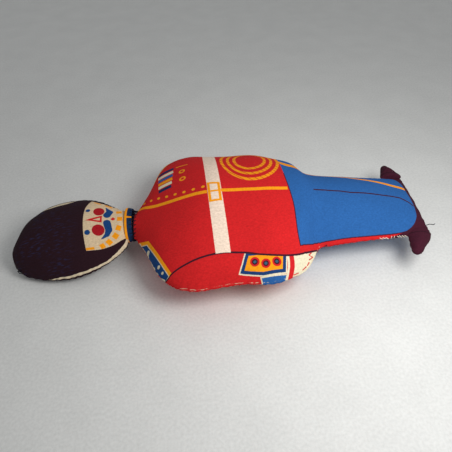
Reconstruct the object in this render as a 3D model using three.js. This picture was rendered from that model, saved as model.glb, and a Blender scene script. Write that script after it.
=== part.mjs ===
// A cut-and-sew cloth doll, lying on its back. A front panel and a back panel of printed cloth are
// sewn edge to edge over wadding, three times over: for the body with its legs, for the head in its
// tall fur cap, and for each foot. The head is whip-stitched to the body through a cloth collar.
// Millimetres. +X runs towards the feet, +Y towards the doll's right hand, +Z up out of its front.

import * as THREE from 'three';

// Cloth and clearances
const CLOTH = 0.9;
const SEAM_GAP = 0.3;
const WADDING_GAP = 0.6;
const FIT_GAP = 0.3;

// How far a round back is pressed flat where it lies on the table
const BACK_FLAT = 1.6;
const HEAD_FLAT = 2;

// Body and legs, from the neck seam to the soles
const BODY_LENGTH = 282;
const SHOULDER_AT = 56;
const BELT_AT = 78;
const WAIST_AT = 100;
const CUFF_AT = 128;
const HAND_AT = 163;
const CROTCH_AT = 184;
const KNEE_FROM_SOLE = 58;
const ANKLE_FROM_SOLE = 22;
const SHOULDER_HALF_WIDTH = 92;
const BELT_HALF_WIDTH = 90.4;
const WAIST_HALF_WIDTH = 88;
const CUFF_HALF_WIDTH = 89.5;
const HAND_HALF_WIDTH = 74;
const CROTCH_HALF_WIDTH = 50.5;
const KNEE_HALF_WIDTH = 45.3;
const ANKLE_HALF_WIDTH = 40.8;
const SOLE_HALF_WIDTH = 35;
const CHEST_DEPTH = 32;
const BELT_DEPTH = 38.3;
const BELLY_DEPTH = 37;
const BACK_DEPTH = 31.6;
const CROTCH_DEPTH = 24.5;
const KNEE_DEPTH = 19;
const ANKLE_DEPTH = 12.5;
const CROTCH_FLAT = 1;

// Neck and collar
const NECK_HALF_WIDTH = 17;
const NECK_HALF_DEPTH = 12;
const NECK_TIP_HALF_WIDTH = 6;
const NECK_SHIFT = 3;
const NECK_SAG = 5;
const NECK_SAG_REACH = 32;
const NECK_DOME = 11;
const COLLAR_LENGTH = 8.6;
const COLLAR_START = 1;
const COLLAR_FLARE = 2;
const COLLAR_FLARE_UP = 0.8;
const PLUG_SIDE_GAP = 1.6;
const PLUG_FRONT_GAP = 1;

// Head and cap, from the neck seam to the crown
const HEAD_LENGTH = 120;
const JAW_AT = 20;
const CHEEK_AT = 40;
const BRIM_AT = 58;
const CAP_FROM_TOP = 36;
const CROWN_FROM_TOP = 12;
const JAW_HALF_WIDTH = 28.5;
const CHEEK_HALF_WIDTH = 40;
const BRIM_HALF_WIDTH = 43.7;
const CAP_HALF_WIDTH = 41.5;
const CROWN_HALF_WIDTH = 31;
const CROWN_TIP_HALF_WIDTH = 7;
const HEAD_SKEW = 2.2;
const FACE_DEPTH = 22;
const HEAD_BACK_DEPTH = 20.5;

// The head's pose on the table: turned and leant towards the doll's left
const HEAD_TURN = 14.7;
const HEAD_LEAN = 4.4;

// Feet, from the ankle crease to the toe
const FOOT_LENGTH = 25.5;
const FOOT_FROM_SOLE = 11.5;
const FOOT_HALF_WIDTH = 11.6;
const FOOT_HINGE_RADIUS = 5;
const FOOT_HALF_DEPTH = 6;
const RIGHT_FOOT_DROOP = 13.5;

// Hand sewing
const THREAD_RADIUS = 0.4;
const NECK_STITCHES = 22;
const NECK_STITCH_REACH = 3;
const COLLAR_STITCH_REACH = 1;
const STITCH_FRONT_ANGLE = 0.34;
const STITCH_BACK_ANGLE = 0.12;
const STITCH_CLEARANCE = 0.6;
const EDGE_LIFT = 0.8;
const CROWN_STITCHES = 4;
const CROWN_STITCHES_FROM_TOP = 16;
const CROWN_STITCHES_LENGTH = 13;
const LEG_STITCHES = 8;
const LEG_STITCHES_FROM_SOLE = 56;
const LEG_STITCHES_LENGTH = 30;

// The section of a sewn form: the power of the sine that it rises by. A pillow has a lens that is
// sharp at the seam, and cloth that is gathered in at the neck and shoulders is rounder
const LENS = 1.4;
const GATHERED_LENS = 1;
const SHOULDER_LENS = 1.2;
const LENS_REACH = 0.8;
const SLOPE_STEP = 0.5;
const ROUND_STEP = 0.02;
const LEAST_SIZE = 0.8;
const WADDING_EDGE = 0.05;

// How many steps along a form and how many columns across each of its sides
const BODY_GRID = { steps: 26, columns: 14 };
const HEAD_GRID = { steps: 20, columns: 12 };
const FOOT_GRID = { steps: 8, columns: 6 };
const COLLAR_SIDES = 20;
const COLLAR_RINGS = 3;
const THREAD_SIDES = 4;
const EDGE_THREAD_STEPS = 2;
const NECK_THREAD_STEPS = 3;

const degrees = THREE.MathUtils.degToRad;
const mix = THREE.MathUtils.lerp;

const material = (color, roughness) => (
  new THREE.MeshStandardMaterial({ color, roughness, metalness: 0 })
);
const PRINT_RED = material(0xc8242a, 0.9);
const CAP_CLOTH = material(0x3a1c2c, 0.92);
const COLLAR_BLUE = material(0x2f5fa8, 0.9);
const BOOT_CLOTH = material(0x40202c, 0.92);
const WADDING = material(0xe8e2d4, 1);
const DARK_THREAD = material(0x241c2a, 0.8);
const PALE_THREAD = material(0xe6dcc6, 0.8);

// A closed body from a vertex list and faces, wound so that its volume is positive
function closedBody(points, faces) {
  const corners = faces.map((face) => face.map((index) => points[index]));
  const volume = corners.reduce((sum, [a, b, c]) => sum + a.dot(b.clone().cross(c)), 0);
  const wound = volume < 0 ? faces.map(([a, b, c]) => [a, c, b]) : faces;
  const geometry = new THREE.BufferGeometry();
  const numbers = points.flatMap((point) => point.toArray());
  geometry.setAttribute('position', new THREE.Float32BufferAttribute(numbers, 3));
  geometry.setIndex(wound.flat());
  return geometry;
}

const quad = (a, b, c, d) => [[a, b, c], [a, c, d]];

// A solid lofted through closed rings of equal count, with a flat fan over each end
function loftedSolid(rings) {
  const count = rings[0].length;
  const faces = [];
  for (let i = 0; i < rings.length - 1; i += 1) {
    for (let j = 0; j < count; j += 1) {
      const next = (j + 1) % count;
      faces.push(...quad(i * count + j, i * count + next, (i + 1) * count + next, (i + 1) * count + j));
    }
  }
  const last = (rings.length - 1) * count;
  for (let j = 1; j < count - 1; j += 1) {
    faces.push([0, j + 1, j]);
    faces.push([last, last + j, last + j + 1]);
  }
  return closedBody(rings.flat(), faces);
}

// An open-ended tube of cloth between an outer and an inner loft of rings
function loftedTube(outer, inner) {
  const rings = [...outer, ...inner.toReversed()];
  const count = outer[0].length;
  const faces = [];
  for (let i = 0; i < rings.length; i += 1) {
    const following = (i + 1) % rings.length;
    for (let j = 0; j < count; j += 1) {
      const next = (j + 1) % count;
      faces.push(...quad(i * count + j, i * count + next, following * count + next, following * count + j));
    }
  }
  return closedBody(rings.flat(), faces);
}

// A bowl of cloth: an outer and an inner skin of equal grids, joined along their flat rim
function bowl(outer, inner) {
  const rows = outer.length;
  const columns = outer[0].length;
  const skin = rows * columns;
  const at = (i, j) => i * columns + j;
  const faces = [];
  for (let i = 0; i < rows - 1; i += 1) {
    for (let j = 0; j < columns - 1; j += 1) {
      const corners = [at(i, j), at(i, j + 1), at(i + 1, j + 1), at(i + 1, j)];
      faces.push(...quad(...corners));
      faces.push(...quad(...corners.map((index) => index + skin).toReversed()));
    }
  }
  const rim = [];
  for (let j = 0; j < columns - 1; j += 1) rim.push(at(0, j));
  for (let i = 0; i < rows - 1; i += 1) rim.push(at(i, columns - 1));
  for (let j = columns - 1; j > 0; j -= 1) rim.push(at(rows - 1, j));
  for (let i = rows - 1; i > 0; i -= 1) rim.push(at(i, 0));
  rim.forEach((here, k) => {
    const next = rim[(k + 1) % rim.length];
    faces.push(...quad(next, here, here + skin, next + skin));
  });
  return closedBody([...outer.flat(), ...inner.flat()], faces);
}

// A sewn and stuffed form. Its length runs along local +X and its seam lies in the plane z = 0.
// A station gives the seam's edges at -Y (low) and +Y (high) and the depths in front and behind.
// The sag is how far the seam plane bends down at a place.
class StuffedForm {
  constructor(stations, table, sag = () => 0) {
    const places = stations.map((station) => station.at);
    const sizes = stations.flatMap(({ low, high, front, back, lens }) => [low, high, front, back, lens]);
    this.start = places[0];
    this.end = places.at(-1);
    this.table = table;
    this.sag = sag;
    this.curve = new THREE.CubicInterpolant(places, sizes, 5);
  }

  // The sizes at a place, drawn in by an inset that is measured square to the surface, and the lens
  sizesAt(place, inset) {
    const read = (at) => [...this.curve.evaluate(THREE.MathUtils.clamp(at, this.start, this.end))];
    const before = read(place - SLOPE_STEP);
    const after = read(place + SLOPE_STEP);
    const here = read(place);
    const lens = here.pop();
    const [low, high, front, back] = here.map((size, k) => (
      size - inset * Math.hypot(1, (after[k] - before[k]) / (2 * SLOPE_STEP))
    ));
    const width = Math.max(high, LEAST_SIZE - low);
    return [low, width, Math.max(front, LEAST_SIZE), Math.max(back, LEAST_SIZE), lens];
  }

  // A point of the skin: angle 0 is the high edge, a half turn the low edge, by way of the front
  pointAt(place, angle, inset = 0, lift = 0) {
    const [low, high, front, back, lens] = this.sizesAt(place, inset);
    const rise = Math.sin(angle);
    const height = rise >= 0 ? front * rise ** lens : -back * (-rise) ** LENS;
    const y = mix(-low, high, (Math.cos(angle) + 1) / 2);
    return this.pressed(new THREE.Vector3(place, y, lift - this.sag(place) + height), inset);
  }

  // Nothing reaches into the table: what would is pressed flat against it
  pressed(point, inset) {
    const height = this.table.distanceToPoint(point) - inset;
    return height < 0 ? point.addScaledVector(this.table.normal, -height) : point;
  }

  // A point held clear of the skin, for sewing that lies on it
  pointOver(place, angle, clearance) {
    const here = this.pointAt(place, angle);
    const along = this.pointAt(place + SLOPE_STEP, angle).sub(here);
    const round = this.pointAt(place, angle + ROUND_STEP).sub(here);
    const over = here.addScaledVector(round.cross(along).normalize(), clearance);
    return this.pressed(over, clearance - FIT_GAP);
  }

  // Places along the form, closer together towards both rounded ends
  places(steps, inset) {
    const from = this.start + inset;
    const to = this.end - inset;
    return Array.from({ length: steps + 1 }, (_, i) => {
      const share = (1 - Math.cos((Math.PI * i) / steps)) / 2;
      return mix(from, to, share);
    });
  }

  // One side's skin as a grid, brought down to the seam plane along its whole edge
  skin(side, steps, columns, inset) {
    const seam = (side * SEAM_GAP) / 2;
    return this.places(steps, inset).map((place, i) => (
      Array.from({ length: columns + 1 }, (_, j) => {
        const point = this.pointAt(place, (side * Math.PI * j) / columns, inset, seam);
        const onSeam = i === 0 || i === steps || j === 0 || j === columns;
        if (onSeam) point.z = seam - this.sag(place);
        return point;
      })
    ));
  }

  panel(side, steps, columns) {
    return bowl(this.skin(side, steps, columns, 0), this.skin(side, steps, columns, CLOTH));
  }

  // The filling: a solid inside both panels, drawn down to a thin edge at its two ends
  wadding(steps, columns) {
    const inset = CLOTH + WADDING_GAP;
    return loftedSolid(this.places(steps, inset).map((place, i) => (
      Array.from({ length: 2 * columns }, (_, j) => {
        const point = this.pointAt(place, (Math.PI * j) / columns, inset);
        if (i === 0 || i === steps) point.z = mix(-this.sag(place), point.z, WADDING_EDGE);
        return point;
      })
    )));
  }
}

const station = (at, half, skew, front, back, lens = LENS) => (
  { at, low: half - skew, high: half + skew, front, back, lens }
);
const even = (at, half, front, back, lens = LENS) => station(at, half, 0, front, back, lens);

// A sewing thread on a smooth path through points, with a few steps from each point to the next
function thread(points, stepsPerPoint) {
  const corners = Array.from({ length: THREAD_SIDES }, (_, i) => (2 * Math.PI * i) / THREAD_SIDES);
  const section = new THREE.Shape(corners.map((turn) => (
    new THREE.Vector2(THREAD_RADIUS * Math.cos(turn), THREAD_RADIUS * Math.sin(turn))
  )));
  const extrudePath = new THREE.CatmullRomCurve3(points, false, 'centripetal');
  const steps = stepsPerPoint * (points.length - 1);
  return new THREE.ExtrudeGeometry(section, { steps, bevelEnabled: false, extrudePath });
}

// Overcast sewing on one seam edge of a form: the thread wraps over the edge from front to back and
// on from back to front. side is 1 for the high edge and -1 for the low.
function edgeSewing(form, side, count, from, to) {
  const over = THREAD_RADIUS + STITCH_CLEARANCE;
  const edge = side > 0 ? 0 : Math.PI;
  const points = [];
  for (let k = 0; k <= 2 * count; k += 1) {
    const place = mix(from, to, k / (2 * count));
    const reach = k % 2 === 0 ? STITCH_FRONT_ANGLE : -STITCH_BACK_ANGLE;
    points.push(form.pointOver(place, edge + reach * side, over));
    if (k < 2 * count) {
      const onward = mix(from, to, (k + 0.5) / (2 * count));
      const rim = form.pointAt(onward, edge);
      points.push(new THREE.Vector3(onward, rim.y + side * (over + EDGE_LIFT), rim.z));
    }
  }
  return thread(points, EDGE_THREAD_STEPS);
}

const named = (name, geometry, finish) => {
  const mesh = new THREE.Mesh(geometry, finish);
  mesh.name = name;
  return mesh;
};

// Body with its legs
const seamHeight = BACK_DEPTH - BACK_FLAT;
const kneeAt = BODY_LENGTH - KNEE_FROM_SOLE;
const ankleAt = BODY_LENGTH - ANKLE_FROM_SOLE;

// The neck's rounded end: places, what they add to the neck's half width and half depth, and how
// much of the neck's sideways shift they have
const NECK_END = [
  { at: 0, wider: NECK_TIP_HALF_WIDTH - NECK_HALF_WIDTH, deeper: -9.4, shift: 1 },
  { at: 2, wider: -1.5, deeper: -4, shift: 1 },
  { at: 6, wider: 8, deeper: 0, shift: 0.8 },
];

// The round of the shoulders, as shares of the way from the neck to their place and width, and of
// the depths in front and behind
const SHOULDER_ROUND = [
  { along: 0.26, width: 0.4, front: 0.5, back: 0.58, shift: -0.3, lens: SHOULDER_LENS },
  { along: 0.43, width: 0.73, front: 0.58, back: 0.8, shift: -0.4, lens: GATHERED_LENS },
  { along: 0.66, width: 0.92, front: 0.75, back: 0.95, shift: 0, lens: GATHERED_LENS },
];

// From the cuffs over the hands to the legs: front and back are shares of the way from the depths
// of the belly to those of the crotch
const ARM_SIDE = [
  { at: CUFF_AT, half: CUFF_HALF_WIDTH, front: 0.0296, back: 0.05 },
  {
    at: mix(CUFF_AT, HAND_AT, 0.57),
    half: mix(CUFF_HALF_WIDTH, HAND_HALF_WIDTH, 0.4),
    front: 0.2368,
    back: 0.3,
  },
  { at: HAND_AT, half: HAND_HALF_WIDTH, front: 0.4, back: 0.6 },
  {
    at: mix(HAND_AT, CROTCH_AT, 0.5),
    half: mix(HAND_HALF_WIDTH, CROTCH_HALF_WIDTH, 0.78),
    front: 0.78,
    back: 0.85,
  },
];

// The rounded end of the legs: how far before the sole, the half width and the share of the
// ankle's depth
const SOLE_END = [
  { before: 7, half: ANKLE_HALF_WIDTH - 1.3, depth: 0.66 },
  { before: 2, half: mix(ANKLE_HALF_WIDTH, SOLE_HALF_WIDTH, 0.55), depth: 0.36 },
  { before: 0, half: SOLE_HALF_WIDTH, depth: 0.2 },
];

const bodyStations = [
  ...NECK_END.map(({ at, wider, deeper, shift }) => {
    const depth = NECK_HALF_DEPTH + deeper;
    return station(at, NECK_HALF_WIDTH + wider, -shift * NECK_SHIFT, depth, depth);
  }),
  ...SHOULDER_ROUND.map(({ along, width, front, back, shift, lens }) => station(
    along * SHOULDER_AT,
    mix(NECK_HALF_WIDTH, SHOULDER_HALF_WIDTH, width),
    -shift * NECK_SHIFT,
    front * CHEST_DEPTH,
    back * BACK_DEPTH,
    lens,
  )),
  even(SHOULDER_AT, SHOULDER_HALF_WIDTH, CHEST_DEPTH, BACK_DEPTH, SHOULDER_LENS),
  even(BELT_AT, BELT_HALF_WIDTH, BELT_DEPTH, BACK_DEPTH),
  even(WAIST_AT, WAIST_HALF_WIDTH, BELLY_DEPTH, BACK_DEPTH),
  ...ARM_SIDE.map(({ at, half, front, back }) => (
    even(at, half, mix(BELLY_DEPTH, CROTCH_DEPTH, front), mix(BACK_DEPTH, CROTCH_DEPTH, back))
  )),
  even(CROTCH_AT, CROTCH_HALF_WIDTH, CROTCH_DEPTH, CROTCH_DEPTH - CROTCH_FLAT),
  even(kneeAt, KNEE_HALF_WIDTH, KNEE_DEPTH, KNEE_DEPTH),
  even(ankleAt, ANKLE_HALF_WIDTH, ANKLE_DEPTH, ANKLE_DEPTH),
  ...SOLE_END.map(({ before, half, depth }) => (
    even(BODY_LENGTH - before, half, depth * ANKLE_DEPTH, depth * ANKLE_DEPTH)
  )),
];
const UP = new THREE.Vector3(0, 0, 1);
const neckSag = (place) => NECK_SAG * (1 - THREE.MathUtils.smoothstep(place, 0, NECK_SAG_REACH));
const bodyForm = new StuffedForm(bodyStations, new THREE.Plane(UP, seamHeight), neckSag);

// A form's two panels of cloth and the wadding between them
function sewnTogether(name, form, grid, cloth) {
  return [
    named(`${name}_front_panel`, form.panel(1, grid.steps, grid.columns), cloth),
    named(`${name}_back_panel`, form.panel(-1, grid.steps, grid.columns), cloth),
    named(`${name}_stuffing`, form.wadding(grid.steps, grid.columns), WADDING),
  ];
}

const body = new THREE.Group();
body.position.set(FIT_GAP, 0, seamHeight);
body.add(...sewnTogether('body', bodyForm, BODY_GRID, PRINT_RED));
const legStitchesAt = BODY_LENGTH - LEG_STITCHES_FROM_SOLE;
body.add(named(
  'leg_closing_stitches',
  edgeSewing(bodyForm, -1, LEG_STITCHES, legStitchesAt, legStitchesAt + LEG_STITCHES_LENGTH),
  PALE_THREAD,
));

// Head: its neck end is a dome that turns about the pivot, inside the collar
const turnedBack = HEAD_BACK_DEPTH * Math.cos(degrees(HEAD_TURN));
const turnedSide = LENS_REACH * BRIM_HALF_WIDTH * Math.sin(degrees(HEAD_TURN));
const headHeight = Math.hypot(turnedBack, turnedSide) - HEAD_FLAT;
const neckHeight = seamHeight - NECK_SAG;
const headDrop = Math.asin((neckHeight - headHeight) / (BRIM_AT - NECK_DOME));
const neckPose = (share) => new THREE.Euler(
  share * degrees(HEAD_TURN),
  -share * headDrop,
  share * degrees(HEAD_LEAN),
  'ZYX',
);
const domeHalf = (at) => Math.sqrt(Math.max(NECK_DOME ** 2 - (NECK_DOME - at) ** 2, 0));
const collarEnd = COLLAR_START + COLLAR_LENGTH;
const capAt = HEAD_LENGTH - CAP_FROM_TOP;
const crownAt = HEAD_LENGTH - CROWN_FROM_TOP;

// The end of the dome that turns inside the collar: what each place adds to its radius across, and
// takes off it in front and behind
const DOME_TIP = { half: 3, depth: 2 };
const DOME_END = [
  { at: 0.6, wider: 0, thinner: 0 },
  { at: 2, wider: 0, thinner: 0.2 },
  { at: 5, wider: 1.5, thinner: 0.6 },
];

// The neck of the head, from inside the collar to just above it
const plugHalfWidth = NECK_HALF_WIDTH - CLOTH - PLUG_SIDE_GAP;
const NECK_FLARE = [
  { above: 0, half: plugHalfWidth, skew: 0, depth: NECK_HALF_DEPTH - CLOTH - PLUG_FRONT_GAP },
  { above: 2, half: plugHalfWidth + 1, skew: 0, depth: NECK_HALF_DEPTH - 1.5 },
  { above: 4, half: NECK_HALF_WIDTH + 5, skew: 3, depth: NECK_HALF_DEPTH },
];

// The face and the cap: skew, front and back are shares of the head's skew and depths
const HEAD_ROUND = [
  { at: JAW_AT, half: JAW_HALF_WIDTH, skew: 1.4, front: 0.62, back: 0.64 },
  {
    at: mix(JAW_AT, CHEEK_AT, 0.5),
    half: mix(JAW_HALF_WIDTH, CHEEK_HALF_WIDTH, 0.6),
    skew: 1.2,
    front: 0.78,
    back: 0.8,
  },
  { at: CHEEK_AT, half: CHEEK_HALF_WIDTH, skew: 1, front: 0.93, back: 0.94 },
  { at: BRIM_AT, half: BRIM_HALF_WIDTH, skew: 1, front: 1, back: 1 },
  { at: capAt, half: CAP_HALF_WIDTH, skew: 0.7, front: 0.94, back: 0.97 },
  {
    at: mix(capAt, crownAt, 0.5),
    half: mix(CAP_HALF_WIDTH, CROWN_HALF_WIDTH, 0.4),
    skew: 0.8,
    front: 0.86,
    back: 0.9,
  },
  { at: crownAt, half: CROWN_HALF_WIDTH, skew: 1, front: 0.72, back: 0.75 },
  {
    at: mix(crownAt, HEAD_LENGTH, 0.5),
    half: mix(CROWN_HALF_WIDTH, CROWN_TIP_HALF_WIDTH, 0.35),
    skew: 2.2,
    front: 0.54,
    back: 0.56,
  },
  {
    at: mix(crownAt, HEAD_LENGTH, 0.85),
    half: mix(CROWN_HALF_WIDTH, CROWN_TIP_HALF_WIDTH, 0.68),
    skew: 2.8,
    front: 0.36,
    back: 0.38,
  },
  { at: HEAD_LENGTH, half: CROWN_TIP_HALF_WIDTH, skew: 2.8, front: 0.2, back: 0.2 },
];

const headStations = [
  even(0, DOME_TIP.half, DOME_TIP.depth, DOME_TIP.depth),
  ...DOME_END.map(({ at, wider, thinner }) => {
    const depth = domeHalf(at) - thinner;
    return even(at, domeHalf(at) + wider, depth, depth);
  }),
  ...NECK_FLARE.map(({ above, half, skew, depth }) => station(collarEnd + above, half, skew, depth, depth)),
  ...HEAD_ROUND.map(({ at, half, skew, front, back }) => (
    station(at, half, skew * HEAD_SKEW, front * FACE_DEPTH, back * HEAD_BACK_DEPTH)
  )),
];

// A form that grows from the pivot towards the crown, in the frame of the turned neck
const neckFrame = (share) => {
  const frame = new THREE.Group();
  frame.position.set(-NECK_DOME, -NECK_SHIFT, neckHeight);
  frame.rotation.copy(neckPose(share));
  const grown = new THREE.Group();
  grown.position.x = NECK_DOME;
  grown.rotation.z = Math.PI;
  frame.add(grown);
  frame.updateMatrixWorld(true);
  return { frame, grown };
};
const headPlace = neckFrame(1);
const worldTable = new THREE.Plane(UP, 0);
const headTable = worldTable.clone().applyMatrix4(headPlace.grown.matrixWorld.clone().invert());
const headForm = new StuffedForm(headStations, headTable);
headPlace.grown.add(...sewnTogether('head', headForm, HEAD_GRID, CAP_CLOTH));
const crownStitchesAt = HEAD_LENGTH - CROWN_STITCHES_FROM_TOP;
headPlace.grown.add(named(
  'crown_closing_stitches',
  edgeSewing(headForm, 1, CROWN_STITCHES, crownStitchesAt, crownStitchesAt + CROWN_STITCHES_LENGTH),
  DARK_THREAD,
));

// Collar: the cloth of the neck, a ring round the head's dome
function collarRing(at, inset) {
  const flare = (COLLAR_FLARE * (at - COLLAR_START)) / COLLAR_LENGTH;
  return Array.from({ length: COLLAR_SIDES }, (_, j) => {
    const angle = (2 * Math.PI * j) / COLLAR_SIDES;
    const halfWidth = NECK_HALF_WIDTH + flare - inset;
    const halfDepth = NECK_HALF_DEPTH + (COLLAR_FLARE_UP / COLLAR_FLARE) * flare - inset;
    return new THREE.Vector3(at, halfWidth * Math.cos(angle), halfDepth * Math.sin(angle));
  });
}
const collarPlace = neckFrame(0.5);
const collarSteps = Array.from({ length: COLLAR_RINGS + 1 }, (_, i) => (
  COLLAR_START + (COLLAR_LENGTH * i) / COLLAR_RINGS
));
const collar = named(
  'collar',
  loftedTube(collarSteps.map((at) => collarRing(at, 0)), collarSteps.map((at) => collarRing(at, CLOTH))),
  COLLAR_BLUE,
);
collarPlace.grown.add(collar);

// The thread that sews the collar's edge to the body, to and fro over the seam all round the neck
function neckSewing() {
  const over = THREAD_RADIUS + FIT_GAP;
  const turned = collarPlace.grown.matrixWorld;
  const toBody = new THREE.Matrix4().makeTranslation(-FIT_GAP, 0, -seamHeight);
  const points = Array.from({ length: 2 * NECK_STITCHES }, (_, k) => {
    const angle = (Math.PI * (k + 0.5)) / NECK_STITCHES;
    if (k % 2 === 1) return bodyForm.pointOver(NECK_STITCH_REACH, angle, over);
    const y = -(NECK_HALF_WIDTH + over + STITCH_CLEARANCE) * Math.cos(angle);
    const z = (NECK_HALF_DEPTH + over + STITCH_CLEARANCE) * Math.sin(angle);
    const onCollar = new THREE.Vector3(COLLAR_START + COLLAR_STITCH_REACH, y, z);
    return onCollar.applyMatrix4(turned).applyMatrix4(toBody);
  });
  return thread(points, NECK_THREAD_STEPS);
}
body.add(named('neck_stitches', neckSewing(), DARK_THREAD));

// Feet: flat stuffed flaps that point sideways from the ankles
const hingeRound = (at) => Math.sqrt(FOOT_HINGE_RADIUS ** 2 - (FOOT_HINGE_RADIUS - at) ** 2);

// A foot's rounded hinge end: places, with what they add to the half width at heel and sole
const HINGE_TIP = { at: 0, heel: -1, sole: -1, depth: 1.4 };
const LEFT_HINGE = [{ at: 1, heel: -0.5, sole: -0.4 }, { at: FOOT_HINGE_RADIUS, heel: 0.4, sole: 0 }];
const RIGHT_HINGE = [{ at: 1, heel: -0.4, sole: -0.5 }, { at: FOOT_HINGE_RADIUS, heel: 0.4, sole: -0.8 }];

// A foot's toe: shares of its length, what they add to the half width at the heel, and shares of
// the half width at the sole and of the half depth
const LEFT_TOE = [
  { along: 0.43, heel: 0.9, sole: 0.65, depth: 1 },
  { along: 0.7, heel: 0.4, sole: 0.13, depth: 0.85 },
  { along: 0.9, heel: -0.6, sole: -0.3, depth: 0.55 },
  { along: 1, heel: -2.1, sole: -0.47, depth: 0.3 },
];
const RIGHT_TOE = [
  { along: 0.43, heel: 1.2, sole: 0.6, depth: 1 },
  { along: 0.7, heel: 0.8, sole: 0.2, depth: 0.85 },
  { along: 0.9, heel: -0.5, sole: -0.15, depth: 0.55 },
  { along: 1, heel: -2.6, sole: -0.36, depth: 0.3 },
];

const footStation = (at, heel, sole, depth) => (
  { at, low: FOOT_HALF_WIDTH + heel, high: sole, front: depth, back: depth, lens: LENS }
);
const footStations = (hinge, toe) => [
  footStation(HINGE_TIP.at, HINGE_TIP.heel, FOOT_HALF_WIDTH + HINGE_TIP.sole, HINGE_TIP.depth),
  ...hinge.map(({ at, heel, sole }) => footStation(at, heel, FOOT_HALF_WIDTH + sole, hingeRound(at))),
  ...toe.map(({ along, heel, sole, depth }) => (
    footStation(along * FOOT_LENGTH, heel, sole * FOOT_HALF_WIDTH, depth * FOOT_HALF_DEPTH)
  )),
];

// side is -1 for the doll's left foot and 1 for its right; droop bends the toe down to the table
function foot(name, side, stations, droop) {
  const hinge = new THREE.Group();
  const hingeY = ANKLE_HALF_WIDTH + FIT_GAP + FOOT_HINGE_RADIUS;
  hinge.position.set(BODY_LENGTH - FOOT_FROM_SOLE, side * hingeY, 0);
  hinge.rotation.x = -side * degrees(droop);
  const grown = new THREE.Group();
  grown.position.y = -side * FOOT_HINGE_RADIUS;
  grown.rotation.z = (side * Math.PI) / 2;
  hinge.add(grown);
  const form = new StuffedForm(stations, new THREE.Plane(UP, seamHeight));
  grown.add(...sewnTogether(name, form, FOOT_GRID, BOOT_CLOTH));
  return hinge;
}
body.add(foot('left_foot', -1, footStations(LEFT_HINGE, LEFT_TOE), 0));
body.add(foot('right_foot', 1, footStations(RIGHT_HINGE, RIGHT_TOE), RIGHT_FOOT_DROOP));

// The whole doll, centred over its footprint
const doll = new THREE.Group();
doll.add(body, headPlace.frame, collarPlace.frame);
doll.updateMatrixWorld(true);
const footprint = new THREE.Box3().setFromObject(doll, true);
const middle = footprint.getCenter(new THREE.Vector3());
doll.position.set(-middle.x, -middle.y, 0);

export default doll;
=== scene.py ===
"""A cut-and-sew cloth doll of a guardsman, lying on its back.

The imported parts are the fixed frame. This script dresses them: printed cotton shells that are
sewn and stuffed, the hand sewing, the table, the lights and the camera. Sizes are in
millimetres in the classes and in metres in Blender.
"""

import logging
import math
from contextlib import contextmanager
from dataclasses import asdict, dataclass, field
from enum import Enum
from typing import Callable, Iterator, Sequence

import bpy
import numpy as np
from mathutils import Euler, Matrix, Vector, noise


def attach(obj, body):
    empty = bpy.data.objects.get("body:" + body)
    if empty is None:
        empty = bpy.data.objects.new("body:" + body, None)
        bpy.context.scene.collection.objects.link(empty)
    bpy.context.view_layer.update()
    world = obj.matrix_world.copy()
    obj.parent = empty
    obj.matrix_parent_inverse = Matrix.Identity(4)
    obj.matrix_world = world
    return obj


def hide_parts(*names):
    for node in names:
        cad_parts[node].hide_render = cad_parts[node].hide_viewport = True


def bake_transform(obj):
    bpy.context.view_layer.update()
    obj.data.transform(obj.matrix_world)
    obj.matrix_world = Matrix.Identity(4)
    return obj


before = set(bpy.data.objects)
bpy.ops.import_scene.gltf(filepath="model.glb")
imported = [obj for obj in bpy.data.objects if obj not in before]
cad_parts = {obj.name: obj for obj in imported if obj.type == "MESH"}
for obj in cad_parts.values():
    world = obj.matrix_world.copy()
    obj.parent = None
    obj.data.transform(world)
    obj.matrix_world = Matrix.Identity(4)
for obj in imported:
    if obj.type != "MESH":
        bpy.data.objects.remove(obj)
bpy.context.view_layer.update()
LOG = logging.getLogger("doll")
MM = 0.001
Colour = tuple[float, float, float]
Point = tuple[float, float]

# Where the parts lie in the row frame, in millimetres
NECK_SEAM_X = -82.2665
SEAM_HEIGHT = 30.0
NECK_PIVOT = Vector((-93.2665, -3.0, 25.0))
NECK_DOME = 11.0
HEAD_TURN = 14.7
HEAD_DROP = 6.448
HEAD_LEAN = 4.4
FOOT_HINGE = (188.5335, 46.1)
FOOT_DROOP = 13.5
ANKLE_INSET = 5.0
NECK_SAG = 5.0
SAG_REACH = 32.0
FIT_GAP = 0.3

# How near two panels' edges have to be to be sewn, in metres
SEAM_MERGE = 2e-6


class Side(Enum):
    """The two panels of a sewn form."""

    FRONT = 1
    BACK = -1


def linear(red: int, green: int, blue: int) -> Colour:
    """A colour as it is mixed on a screen, turned to the linear values that shaders take.

    Args:
        red: The red, from 0 to 255.
        green: The green.
        blue: The blue.

    Returns:
        The linear red, green and blue.
    """
    return tuple(
        (c / 255 / 12.92) if c <= 10 else ((c / 255 + 0.055) / 1.055) ** 2.4
        for c in (red, green, blue)
    )


def deselect() -> None:
    """Nothing is selected and nothing is active."""
    for item in list(bpy.context.selected_objects):
        item.select_set(False)
    bpy.context.view_layer.objects.active = None


def choose(*pieces: bpy.types.Object) -> None:
    """Only these pieces are selected, and the first is active.

    Args:
        pieces: The objects that the next operator works on.
    """
    deselect()
    for piece in pieces:
        piece.select_set(True)
    bpy.context.view_layer.objects.active = pieces[0]


def coordinates(piece: bpy.types.Object) -> np.ndarray:
    """Reads a piece's vertices.

    Args:
        piece: The mesh object.

    Returns:
        A row of x, y and z for each vertex.
    """
    flat = np.empty(len(piece.data.vertices) * 3)
    piece.data.vertices.foreach_get("co", flat)
    return flat.reshape(-1, 3)


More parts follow.
